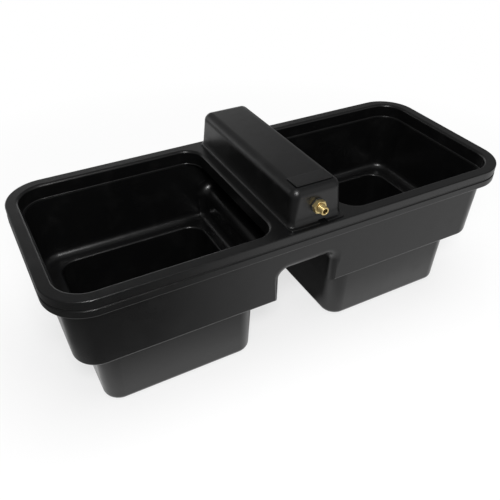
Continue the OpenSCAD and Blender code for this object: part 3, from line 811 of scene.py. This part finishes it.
pad_low = Vector((PAD_X - PAD.x / 2, hood_front + PAD_BACK, hood_top - PAD_ROOT))
pad_high = Vector((PAD_X + PAD.x / 2, pad_low.y + PAD.y, hood_high.z))
pad = block("pad", pad_low, pad_high)
with editing(pad):
    only_selected(lambda co: co.z > hood_top and co.y > pad_high.y - CUT)
    bpy.ops.transform.translate(value=(0, 0, -PAD_FALL))
soften(pad, lambda middle, way: abs(way.z) > STRAIGHT, PAD_ROUND)
soften(pad, lambda middle, way: middle.z > hood_top and abs(way.z) < 1 - STRAIGHT, PAD_SOFT)
under = [
    (-PAD_GAP, -PAD_GAP, PAD.x + PAD_GAP, PAD_UNDER),
    (-PAD_GAP, -PAD_GAP, PAD_UNDER, PAD.y - PAD_UNDER),
    (PAD.x - PAD_UNDER, -PAD_GAP, PAD.x + PAD_GAP, PAD.y - PAD_UNDER),
]
for left, front, right, back in under:
    low = pad_low + Vector((left, front, -CUT))
    cut(pad, block("gap", low, Vector((pad_low.x + right, pad_low.y + back, pad_high.z - PAD_LIP))))
notch_low = Vector((NOTCH_X - NOTCH.x / 2, hood_low.y - CUT, rim_z - CUT))
notch = block("notch", notch_low, Vector((NOTCH_X + NOTCH.x / 2, hood_low.y + NOTCH.y, rim_z + NOTCH.z)))
soften(notch, lambda middle, way: abs(way.y) > STRAIGHT and middle.z > rim_z, FLANGE_SOFT)
inlet_hole = fresh("inlet_hole", cylinder, vertices=48, radius=INLET_R, depth=4 * HOOD_WALL)
placed(inlet_hole, at_inlet(hood_front + HOOD_WALL / 2))
gap_low = Vector((pad_low.x - PAD_GAP, pad_low.y - PAD_GAP, hood_top - PAD_GAP_D))
pad_gap = block("pad_gap", gap_low, pad_high + Vector((PAD_GAP, -PAD_UNDER, CUT)))
soften(pad_gap, lambda middle, way: abs(way.z) > STRAIGHT and middle.y < gap_low.y + CUT, PAD_ROUND + PAD_GAP)
cut(hood, hood_hollow, pad_gap)
join(hood, pad)
cut(hood, notch, inlet_hole)
finish_piece(smooth(hood), "valve_hood", "hood", hood_black, "hood")

# %% [markdown]
# ## Turned parts
#
# Washers, nuts and caps come off a lathe, so they are made the same way here: half of the section is drawn
# as a line of (radius, height) points and spun round. A line that comes back to its start gives a ring; one
# that starts and ends on the axis gives a solid.

# %% The lathe
RUBBER_EDGE = 0.4 * mm


def drawn_line(name, points):
    """A new mesh that is one line through (radius, height) points."""
    made = fresh(name, bpy.ops.mesh.primitive_plane_add, size=1)
    with editing(made):
        bpy.ops.mesh.merge(type="CENTER")
        bpy.ops.transform.translate(value=(points[0][0], 0, points[0][1]))
        for here, there in zip(points, points[1:]):
            move = (there[0] - here[0], 0, there[1] - here[1])
            bpy.ops.mesh.extrude_region_move(TRANSFORM_OT_translate={"value": move})
    return made


def turned(name, section, place, steps=48):
    """Spins a section of (radius, height) points and puts the result in place."""
    made = drawn_line(name, section)
    with editing(made):
        bpy.ops.mesh.spin(steps=steps, angle=2 * math.pi, center=(0, 0, 0), axis=(0, 0, 1))
        bpy.ops.mesh.select_all(action="SELECT")
        bpy.ops.mesh.remove_doubles(threshold=MERGE)
        bpy.ops.mesh.normals_make_consistent(inside=False)
    return placed(made, place)


def ring_section(inner, outer, bottom, top, edge):
    """A ring's section with its outer edges taken off."""
    below = [(inner, bottom), (outer - edge, bottom), (outer, bottom + edge)]
    return below + [(outer, top - edge), (outer - edge, top), (inner, top), (inner, bottom)]


for node in ("outer_washer", "inner_washer"):
    low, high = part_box(node)
    washer = turned(node, ring_section(INLET_R, high.x, low.y, high.y, RUBBER_EDGE), at_inlet(0))
    finish_piece(smooth(washer), "sealing_" + node, "hood", black_rubber, node)

# %% [markdown]
# The back nut is a hexagon whose front corners are turned off at about 30 degrees, which leaves the curved
# edges that every nut has, while its back is cut off flat. So a six-sided prism is kept only where it
# overlaps a turned blank whose front end slopes. Its hole is widened a little at both ends.

# %% Hexagon nuts
CHAMFER = math.tan(math.radians(30))
NUT_FACE = 0.99
NUT_SINK = 0.03
NUT_CLEAR = 0.5 * mm


def hexagon_nut(name, across_flats, thickness, hole, place, turn):
    flat, half = across_flats / 2, thickness / 2
    corner = flat / math.cos(math.radians(30))
    nut = fresh(name, cylinder, vertices=6, radius=corner, depth=thickness)
    placed(nut, place @ rotation(turn, "Z"))
    face, past, sink = NUT_FACE * flat, corner + NUT_CLEAR, NUT_SINK * flat
    slope = (past - face) * CHAMFER
    blank = [(0, -half), (face, -half), (past, slope - half), (past, half + CUT), (0, half + CUT)]
    combine("INTERSECT", nut, turned("blank", blank, place))
    bore = [(0, -half - CUT), (hole + sink + CUT, -half - CUT), (hole, sink - half)]
    bore += [(radius, -height) for radius, height in reversed(bore)]
    cut(nut, turned("bore", bore, place))
    return smooth(nut)


NUT_ACROSS = 24 * mm
NUT_TURN = -18
nut_low, nut_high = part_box("backnut")
nut_place = at_inlet(inlet_middle.y)
backnut = hexagon_nut("backnut", NUT_ACROSS, nut_high.y - nut_low.y, INLET_R, nut_place, NUT_TURN)
finish_piece(backnut, "inlet_backnut", "hood", tumbled_brass, "backnut")

# %% [markdown]
# ## The threaded inlet
#
# A real thread is one groove that climbs as it goes round. The Screw modifier makes exactly that: it takes
# one small tooth after another, drawn as a zigzag, and winds it up by one tooth a turn. The ends of the
# winding are cut flat, and a blank with a sloping end trims it to length. A tooth's measures are given in
# turns of the thread.

# %% Threads
THREAD_DEPTH = 0.62
CREST = (0.44, 0.56)
ROOT = (0.94, 1)
FIRST_CUT = 1.02
LAST_CUT = 0.72
END_SLOPE = 1.2
THREAD_MERGE = 0.004 * mm
SPARE_TEETH = 3


def threaded(name, radius, pitch, length, place, steps=40):
    """A threaded rod from height 0 to length, its first end chamfered, put in place."""
    core = radius - THREAD_DEPTH * pitch
    teeth = math.ceil(length / pitch) + SPARE_TEETH + 1
    zigzag = [(core, -SPARE_TEETH * pitch)]
    for tooth in range(-SPARE_TEETH, teeth - SPARE_TEETH):
        zigzag += [(radius, (tooth + up) * pitch) for up in CREST]
        zigzag += [(core, (tooth + up) * pitch) for up in ROOT]
    rod = drawn_line(name, zigzag)
    turn = {"angle": 2 * math.pi, "screw_offset": pitch, "steps": steps, "render_steps": steps}
    applied(rod, "SCREW", use_merge_vertices=False, **turn)
    with editing(rod):
        bpy.ops.mesh.remove_doubles(threshold=THREAD_MERGE)
        last = teeth - SPARE_TEETH - LAST_CUT
        ends = {"clear_inner": -FIRST_CUT * pitch, "clear_outer": last * pitch}
        for unwanted, height in ends.items():
            bpy.ops.mesh.select_all(action="SELECT")
            bpy.ops.mesh.bisect(plane_co=(0, 0, height), plane_no=(0, 0, 1), **{unwanted: True})
        close_mesh()
    placed(rod, place)
    slope, past = END_SLOPE * (radius - core), radius + CUT
    blank = [(0, 0), (radius - slope, 0), (past, slope + CUT), (past, length), (0, length)]
    return combine("INTERSECT", rod, turned("blank", blank, place))


THREAD_R = 8.33 * mm
THREAD_PITCH = 1.337 * mm
BORE_R = 4.5 * mm
BORE_EDGE = 0.8 * mm
tail_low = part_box("valve_body")[0].y
tail_length = nut_low.y - tail_low
tail = threaded("tail", THREAD_R, THREAD_PITCH, tail_length + CUT, at_inlet(tail_low))
bore_end = tail_length + 2 * CUT
bore = [(0, -CUT), (BORE_R + BORE_EDGE + CUT, -CUT), (BORE_R, BORE_EDGE), (BORE_R, bore_end), (0, bore_end)]
cut(tail, turned("bore", bore, at_inlet(tail_low)))
print("inlet thread:", triangles(tail), "triangles")

# %% [markdown]
# The rest of the valve body is already right as a solid, so a copy of it is used: its loose triangles are
# merged and flat faces are put back together. Its plain tail is cut off and the threaded one takes its
# place. Smaller pieces are copied in the same way further on, and their sharp edges are broken with a
# narrow bevel.

# %% Copies of solids with broken edges
SHARP = 35
FLAT = 1


def added(name, data):
    """A new object in the scene, for a mesh, a lamp or a camera."""
    made = bpy.data.objects.new(name, data)
    bpy.context.scene.collection.objects.link(made)
    return made


def copied(node):
    made = added(node + "_copy", frame["nodes"][node].data.copy())
    with editing(made):
        bpy.ops.mesh.remove_doubles(threshold=MERGE)
        bpy.ops.mesh.dissolve_limited(angle_limit=math.radians(FLAT))
    return made


def broken_edges(piece, width):
    """A narrow bevel along every sharp edge."""
    limit = {"limit_method": "ANGLE", "angle_limit": math.radians(SHARP)}
    return smooth(applied(piece, "BEVEL", width=width, segments=2, **limit), SHARP)


valve = copied("valve_body")
room = Vector((2 * NUT_ACROSS, 0, 2 * NUT_ACROSS))
tail_start, tail_end = Vector((0, tail_low - CUT, inlet_middle.z)), Vector((0, nut_low.y, inlet_middle.z))
cut(valve, block("tail_room", tail_start - room, tail_end + room))
join(valve, tail)
finish_piece(smooth(valve, SHARP), "inlet_valve", "hood", turned_brass, "valve_body")

# %% [markdown]
# ## Inside the valve
#
# These pieces sit out of sight until the hood is lifted: a knurled cap on the open end of the barrel, a
# nylon seat with its jet, and a piston with a rubber face. The knurl is a ring of small flats: every second
# corner of a many-sided prism is drawn in, and a turned blank that slopes at both ends trims it.

# %% Knurled cap
BARREL_R = 13 * mm
CAP_LAP = 8 * mm
CAP_EDGE = 1.4 * mm
KNURLS = 60
KNURL_IN = 0.965

cap_low, cap_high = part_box("end_cap")
cap_length, cap_place = cap_high.y - cap_low.y, at_inlet(cap_low.y)
middle = (0, 0, cap_length / 2)
cap = fresh("cap", cylinder, vertices=2 * KNURLS, radius=cap_high.x, depth=cap_length, location=middle)
bpy.ops.object.transform_apply()
with editing(cap):
    only_selected(lambda co: round(math.atan2(co.y, co.x) / math.pi * KNURLS) % 2 == 0)
    bpy.ops.transform.resize(value=(KNURL_IN, KNURL_IN, 1), center_override=(0, 0, 0))
placed(cap, cap_place)
narrow, past, slope = cap_high.x - CAP_EDGE, cap_high.x + CUT, CAP_EDGE + CUT
blank = [(0, 0), (narrow, 0), (past, slope)]
blank += [(past, cap_length - slope), (narrow, cap_length), (0, cap_length)]
combine("INTERSECT", cap, turned("blank", blank, cap_place))
cup = [(0, -CUT), (BARREL_R, -CUT), (BARREL_R, CAP_LAP), (0, CAP_LAP)]
cut(cap, turned("cup", cup, cap_place))
finish_piece(smooth(cap, angle=20), "barrel_cap", "hood", turned_brass, "end_cap")

# %% Seat, piston and its rubber face
SEAT_T = 6 * mm
SEAT_EDGE = 0.3 * mm
JET_R = 2.5 * mm
JET_EDGE = 0.6 * mm
NOZZLE_R = 5 * mm
PISTON_EDGE = 0.3 * mm
FACE_EDGE = 0.5 * mm

seat_low, seat_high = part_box("valve_seat")
tip = seat_high.y - seat_low.y
section = ring_section(JET_R, seat_high.x, 0, SEAT_T, SEAT_EDGE)[:5]
section += [(NOZZLE_R, SEAT_T), (NOZZLE_R, tip - JET_EDGE), (NOZZLE_R - JET_EDGE, tip)]
section += [(JET_R + JET_EDGE, tip), (JET_R, tip - JET_EDGE), (JET_R, 0)]
seat = turned("seat", section, at_inlet(seat_low.y))
finish_piece(smooth(seat), "jet_seat", "hood", ivory_nylon, "valve_seat")

piston = broken_edges(copied("piston"), PISTON_EDGE)
finish_piece(piston, "valve_piston", "piston", turned_brass, "piston")
face_low, face_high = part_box("piston_seal")
section = ring_section(0, face_high.x, 0, face_high.y - face_low.y, FACE_EDGE)[:-1]
face = turned("face", section, at_inlet(face_low.y))
finish_piece(smooth(face), "piston_face", "piston", black_rubber, "piston_seal")

# %% [markdown]
# ## Lever, pin and float
#
# The lever hangs on a headed pin with a spring clip. A threaded rod with two nuts joins it to the float, a
# black blow-moulded box with a seam round its middle where the two halves of the mould met. The rod, its
# nuts and the float tilt with the lever, so they are made upright and then tilted into place.

# %% Pin and clip
PIN_R = 2.5 * mm
HEAD_R = 4.25 * mm
HEAD_T = 2 * mm
HEAD_EDGE = 0.6 * mm
PIN_EDGE = 0.5 * mm
CLIP_R = 1.9 * mm
CLIP_EDGE = 0.15 * mm

swing = next(joint for joint in frame["record"]["behaviour"]["joints"] if joint["name"] == "float_swing")
pin_at = Vector(swing["pos_m"])
pin_low, pin_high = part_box("lever_pin")
clip_low, clip_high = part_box("pin_clip")
along_pin = Matrix.Translation((0, pin_at.y, pin_at.z)) @ rotation(90, "Y")
start, neck, end = pin_low.x, pin_low.x + HEAD_T, pin_high.x
section = [(0, start), (HEAD_R - HEAD_EDGE, start), (HEAD_R, start + HEAD_EDGE)]
section += [(HEAD_R, neck), (PIN_R, neck), (PIN_R, clip_low.x), (CLIP_R, clip_low.x)]
section += [(CLIP_R, clip_high.x), (PIN_R, clip_high.x)]
section += [(PIN_R, end - PIN_EDGE), (PIN_R - PIN_EDGE, end), (0, end)]
pin = turned("pin", section, along_pin, steps=32)
finish_piece(smooth(pin), "hinge_pin", "hood", plain_steel, "lever_pin")
clip = broken_edges(copied("pin_clip"), CLIP_EDGE)
finish_piece(clip, "hinge_clip", "hood", plain_steel, "pin_clip")

# %% Lever, rod and nuts
REST_TILT = -7.0
LEVER_LENGTH = 160 * mm
ARM_TOP = 2.82 * mm
ARM_T = 9 * mm
ARM_EDGE = 0.5 * mm
ROD_R = 3 * mm
ROD_PITCH = 1 * mm
ROD_ABOVE = 11 * mm
ROD_LENGTH = 60.88 * mm
ROD_NUT_ACROSS = 10 * mm
ROD_NUT_T = 5 * mm

lever_place = Matrix.Translation(pin_at) @ rotation(REST_TILT, "X")


def on_rod(height):
    """A place on the rod, counted up from the pin's level, tilted with the lever."""
    return lever_place @ Matrix.Translation((0, LEVER_LENGTH, height))


lever = broken_edges(copied("float_lever"), ARM_EDGE)
finish_piece(lever, "float_arm", "lever", cast_brass, "float_lever")
upside_down = on_rod(ARM_TOP + ROD_ABOVE) @ rotation(180, "X")
rod = threaded("rod", ROD_R, ROD_PITCH, ROD_LENGTH, upside_down, steps=24)
finish_piece(smooth(rod, angle=40), "threaded_rod", "lever", plain_steel, "float_rod")
nuts = [
    hexagon_nut("rod_nut", ROD_NUT_ACROSS, ROD_NUT_T, ROD_R, on_rod(middle), turn=30)
    for middle in (ARM_TOP + ROD_NUT_T / 2, ARM_TOP - ARM_T - ROD_NUT_T / 2)
]
make_active(nuts[0])
nuts[1].select_set(True)
bpy.ops.object.join()
finish_piece(nuts[0], "clamping_nuts", "lever", plain_steel, "rod_nuts")

# %% Float
FLOAT = Vector((75 * mm, 100 * mm, 48 * mm))
FLOAT_EDGE = 14 * mm
FLOAT_ROUND = 28 * mm
SEAM_OUT = 0.6 * mm
SEAM_HALF = 0.9 * mm
BOSS_R = 8 * mm
BOSS_H = 2.5 * mm
SOCKET_D = 8 * mm

float_low, float_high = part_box("float")
float_middle = (float_low + float_high) / 2
float_place = Matrix.Translation(float_middle) @ rotation(REST_TILT, "X")
half = FLOAT.z / 2
boss_top = half + BOSS_H
curve = ((1, -2), (1, 0), (0.7, 0.12), (0.3, 0.4), (0, 0.8), (-0.3, 1))
section = [(BOSS_R + out * BOSS_H, half + up * BOSS_H) for out, up in curve]
boss = turned("boss", [(0, section[0][1])] + section + [(0, boss_top)], float_place)
body = loft(
    "float",
    (-FLOAT.y / 2, FLOAT.y / 2, FLOAT.x / 2, FLOAT_ROUND, FLOAT_ROUND),
    low_edge(0, -half, FLOAT_EDGE, 9)
    + [(0, -2 * SEAM_HALF), (SEAM_OUT, -SEAM_HALF), (SEAM_OUT, SEAM_HALF), (0, 2 * SEAM_HALF)]
    + top_edge(0, half, FLOAT_EDGE, 9),
)
join(placed(body, float_place @ turn_left), boss)
socket_low, socket_high = half - SOCKET_D, boss_top + CUT
socket = [(0, socket_low), (ROD_R, socket_low), (ROD_R, socket_high), (0, socket_high)]
cut(body, turned("socket", socket, float_place))
finish_piece(smooth(body), "float_box", "lever", float_black, "float")

# %% [markdown]
# ## Drain plugs
#
# Each lower bowl drains through a hole in its floor. The plug is a turned disc with a stem and a bar across
# it to pull it by. The bar's two broad faces are set in a little, as mouldings are made to keep their walls
# thin.

# %% Plugs and their rings
PLUG_T = 5 * mm
PLUG_EDGE = 1.5 * mm
PLUG_LOW_EDGE = 0.4 * mm
PLUG_GROOVE = (3 * mm, 3.6 * mm, 6 * mm, 6.6 * mm)
PLUG_GROOVE_D = 0.7 * mm
STEM_PLAY = 0.4 * mm
STEM_EDGE = 0.8 * mm
GRIP_T = 9 * mm
GRIP_SHORT = 0.5 * mm
GRIP_ROUND = 7 * mm
GRIP_EDGE = 0.8 * mm
GRIP_IN = 1.2 * mm
GRIP_BORDER = 2.6 * mm


def drain_plug(side):
    low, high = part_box(side + "_drain_plug")
    ring_low, ring_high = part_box(side + "_drain_seal")
    centre = Vector(((low.x + high.x) / 2, 0, 0))
    place = Matrix.Translation(centre)
    outer, stem = (high.x - low.x) / 2, DRAIN_R - STEM_PLAY
    base, top = ring_high.z, ring_high.z + PLUG_T
    section = [(0, low.z), (stem - STEM_EDGE, low.z), (stem, low.z + STEM_EDGE), (stem, base)]
    section += [(outer - PLUG_LOW_EDGE, base), (outer, base + PLUG_LOW_EDGE)]
    section += top_edge(outer, top, PLUG_EDGE, 4)
    groove_z = (top, top - PLUG_GROOVE_D, top - PLUG_GROOVE_D, top)
    section += [(outer - inwards, z) for inwards, z in zip(PLUG_GROOVE, groove_z)] + [(0, top)]
    plug = turned("plug", section, place)
    grip_x = stem - GRIP_SHORT
    grip_low = Vector((-grip_x, -GRIP_T / 2, base + CUT)) + centre
    grip_high = Vector((grip_x, GRIP_T / 2, high.z)) + centre
    grip = block("grip", grip_low, grip_high)
    with editing(grip):
        bpy.ops.mesh.select_mode(type="FACE")
        for way in (-1, 1):
            bpy.ops.mesh.select_all(action="DESELECT")
            mesh = bmesh.from_edit_mesh(grip.data)
            for face in mesh.faces:
                face.select_set(face.normal.y * way > STRAIGHT)
            bmesh.update_edit_mesh(grip.data)
            bpy.ops.mesh.inset(thickness=GRIP_BORDER, depth=0)
            bpy.ops.mesh.inset(thickness=GRIP_IN / 2, depth=-GRIP_IN)
        bpy.ops.mesh.select_mode(type="VERT")
    soften(grip, lambda middle, way: abs(middle.y) < GRIP_T / 4 and abs(way.y) > STRAIGHT, GRIP_ROUND, 8)
    join(plug, broken_edges(grip, GRIP_EDGE))
    body = side + "_plug"
    finish_piece(smooth(plug), side + "_stopper", body, plug_black, side + "_drain_plug")
    section = ring_section(DRAIN_R, (ring_high.x - ring_low.x) / 2, ring_low.z, ring_high.z, RUBBER_EDGE)
    ring = turned("ring", section, place, steps=64)
    finish_piece(smooth(ring), side + "_stopper_ring", body, black_rubber, side + "_drain_seal")


for side in ("left", "right"):
    drain_plug(side)

# %% [markdown]
# ## Floor and light
#
# The trough stands on white paper. Black satin plastic shows little colour of its own: what is seen on its
# walls is mostly the paper, reflected. So the paper has to look white to the camera and to reflections, and
# still take the trough's soft shadow. Its material is part lit paper and part steady white, and the white
# part is only there for rays from the camera, from gloss and through glass. The white that reflections see
# is painted light and shade: a painted pool of light close to the trough, a painted rise in front further
# out, and painted dimming in front on the left and behind on the right, which gives the long front wall its
# shading. Under the bridge the reflected paper is darkened with painted shade. The camera sees no steady
# white under the drain holes, so an open drain shows the paper as it is lit.

# %% White paper floor
STEADY_WHITE = 0.7
FAR_OFF = (0.7, 1.4)
REFLECTED_WHITE = 0.97
# Painted light and shade in reflected paper: dimmed edges, a pool of light, shade under the bridge.
PAINTED_DIM_FLOOR = 0.16
PAINTED_NEAR_FLOOR = 0.66
PAINTED_FAR_FLOOR = 0.86
OUTWARD = (-0.56, -0.42)
FRONT_PAINTED_FALLOFF = (-0.43, -0.10)
FRONT_SLANT = 0.4
BACK_PAINTED_FALLOFF = (1.6, 0.9)
BACK_SLANT = 0.5
PAINTED_POOL_EDGE = (-0.31, -0.17)
PAINTED_POOL_LEFT = (-0.68, -0.42)
PAINTED_POOL_RIGHT = (1.2, 0.8)
BRIDGE_SHADE = 0.92
BRIDGE_SHADE_Y = 0.13
BRIDGE_SHADE_WIDE = (0.10, 0.17)
BRIDGE_SHADE_LONG = (0.19, 0.26)
DRAIN_LIT = (1.5 * DRAIN_R, 2 * DRAIN_R)
FLOOR_SIZE = 30.0

floor = fresh("paper_floor", bpy.ops.mesh.primitive_plane_add, size=FLOOR_SIZE)
paper = Finish(bpy.data.materials.new("white_paper"))
paper.set(Base_Color=(0.9, 0.9, 0.9, 1), Roughness=0.9)
seen, glossy, through = paper.rays()
across, along = paper.parts(paper.place)[:2]
# The reflected paper's painted dimming in front and behind, and its painted pool of light near the trough.
front = paper.ramp(across + along * FRONT_SLANT, *FRONT_PAINTED_FALLOFF, PAINTED_DIM_FLOOR, 1.0)
front = front * paper.ramp(along, *OUTWARD, PAINTED_FAR_FLOOR, PAINTED_NEAR_FLOOR)
back = paper.ramp(across + along * BACK_SLANT, *BACK_PAINTED_FALLOFF, PAINTED_DIM_FLOOR, PAINTED_FAR_FLOOR)
painted_pool = paper.ramp(along, *PAINTED_POOL_EDGE) * paper.ramp(across, *PAINTED_POOL_LEFT) * paper.ramp(across, *PAINTED_POOL_RIGHT)
painted_reflection = front.maths("MAXIMUM", front.maths("MINIMUM", front, back), painted_pool)
sideways = abs(across)
# Painted shade under the bridge, which only reflections see.
shade = paper.ramp(sideways, *BRIDGE_SHADE_WIDE, BRIDGE_SHADE, 0.0)
shade = shade * paper.ramp(abs(along - BRIDGE_SHADE_Y), *BRIDGE_SHADE_LONG, 1.0, 0.0)
# Steady white to the camera; reflections get the painted light and shade above.
white = seen + (1 - seen) * painted_reflection * (1 - shade)
steady = paper.node("ShaderNodeEmission", {}, {"Color": (1, 1, 1, 1), "Strength": white})
lit = Field(paper, paper.surface.outputs["BSDF"])
away = paper.node("ShaderNodeVectorMath", {"operation": "LENGTH"}, {0: paper.place}, "Value")
from_drain = sideways - foot_middle
in_the_open = paper.ramp((from_drain * from_drain + along * along) ** 0.5, *DRAIN_LIT)
to_camera = in_the_open * paper.ramp(away, *FAR_OFF, STEADY_WHITE, 1.0)
share = seen * to_camera + (glossy + through) * REFLECTED_WHITE
mixed = paper.node("ShaderNodeMixShader", {}, {0: share, 1: lit, 2: steady})
paper.plug(paper.tree.nodes["Material Output"].inputs["Surface"], mixed)
floor.data.materials.append(paper.owner)
print("floor", FLOOR_SIZE, "m wide, with", len(paper.tree.nodes), "nodes in its paper")

# %% [markdown]
# A small lamp beside the camera puts a spark on every rounded corner. Two large soft boxes, one behind and
# one in front on the right, show as a sheen on the level faces and the edges. A wide box overhead lights
# the paper and everything dull, and is kept out of reflections, so the rounded edges stay dark on top. A
# grey world fills the rest. It is white to the camera and paler near the horizon in reflections, as a wall
# of paper would be.

# %% Soft boxes and world
GREY_WORLD = 0.19
PALE_HORIZON = 0.3
HORIZON = (0.0, 0.12)
LIGHTS_AIM = Vector((0, 0, 0.2))


def soft_box(name, at, size, power):
    light = bpy.data.lights.new(name, "AREA")
    light.shape = "RECTANGLE"
    light.size, light.size_y = size
    light.energy = power
    box = added(name, light)
    box.location = at
    box.rotation_euler = (LIGHTS_AIM - Vector(at)).to_track_quat("-Z", "Y").to_euler()
    return box


soft_box("camera_lamp", at=(-0.60, -1.15, 1.50), size=(0.40, 0.26), power=18)
soft_box("back_box", at=(-0.2, 2.6, 0.84), size=(4.0, 0.8), power=11)
soft_box("right_box", at=(1.5, -2.2, 1.5), size=(1.6, 1.6), power=3)
top_box = soft_box("top_box", at=(0.2, -0.2, 2.6), size=(2.6, 2.2), power=60)
top_box.visible_glossy = False
bpy.context.scene.world = bpy.data.worlds.new("studio")
studio = Finish(bpy.context.scene.world, "Background", "Generated")
seen, glossy, through = studio.rays()
height = studio.parts(studio.place)[2]
horizon = (glossy + through) * studio.ramp(height, *HORIZON, PALE_HORIZON, 0.0)
studio.set(Color=(1, 1, 1, 1), Strength=seen + (1 - seen) * (horizon + GREY_WORLD))
print("four soft boxes and a grey world")

# %% [markdown]
# The camera stands in front on the left and looks down, so that both bowls, the arch and the inlet all
# show. It is turned to the right, tilted down and rolled by angles in degrees, one after another.

# %% Camera
CAMERA_AT = (-546.1 * mm, -915.3 * mm, 960.8 * mm)
LOOK_RIGHT = 29.16
LOOK_DOWN = 37.57
LOOK_TILTED = 0.81
FOCAL = 588.4 / 500
lens = bpy.data.cameras.new("camera")
lens.lens = lens.sensor_width * FOCAL
lens.clip_start = 0.01
camera = added("camera", lens)
aim = rotation(-LOOK_RIGHT, "Z") @ rotation(90 - LOOK_DOWN, "X") @ rotation(LOOK_TILTED, "Z")
camera.matrix_world = Matrix.Translation(CAMERA_AT) @ aim
bpy.context.scene.camera = camera
bpy.context.scene.view_settings.view_transform = "Standard"
print("camera", round(1000 * CAMERA_AT[2]), "mm above the floor")
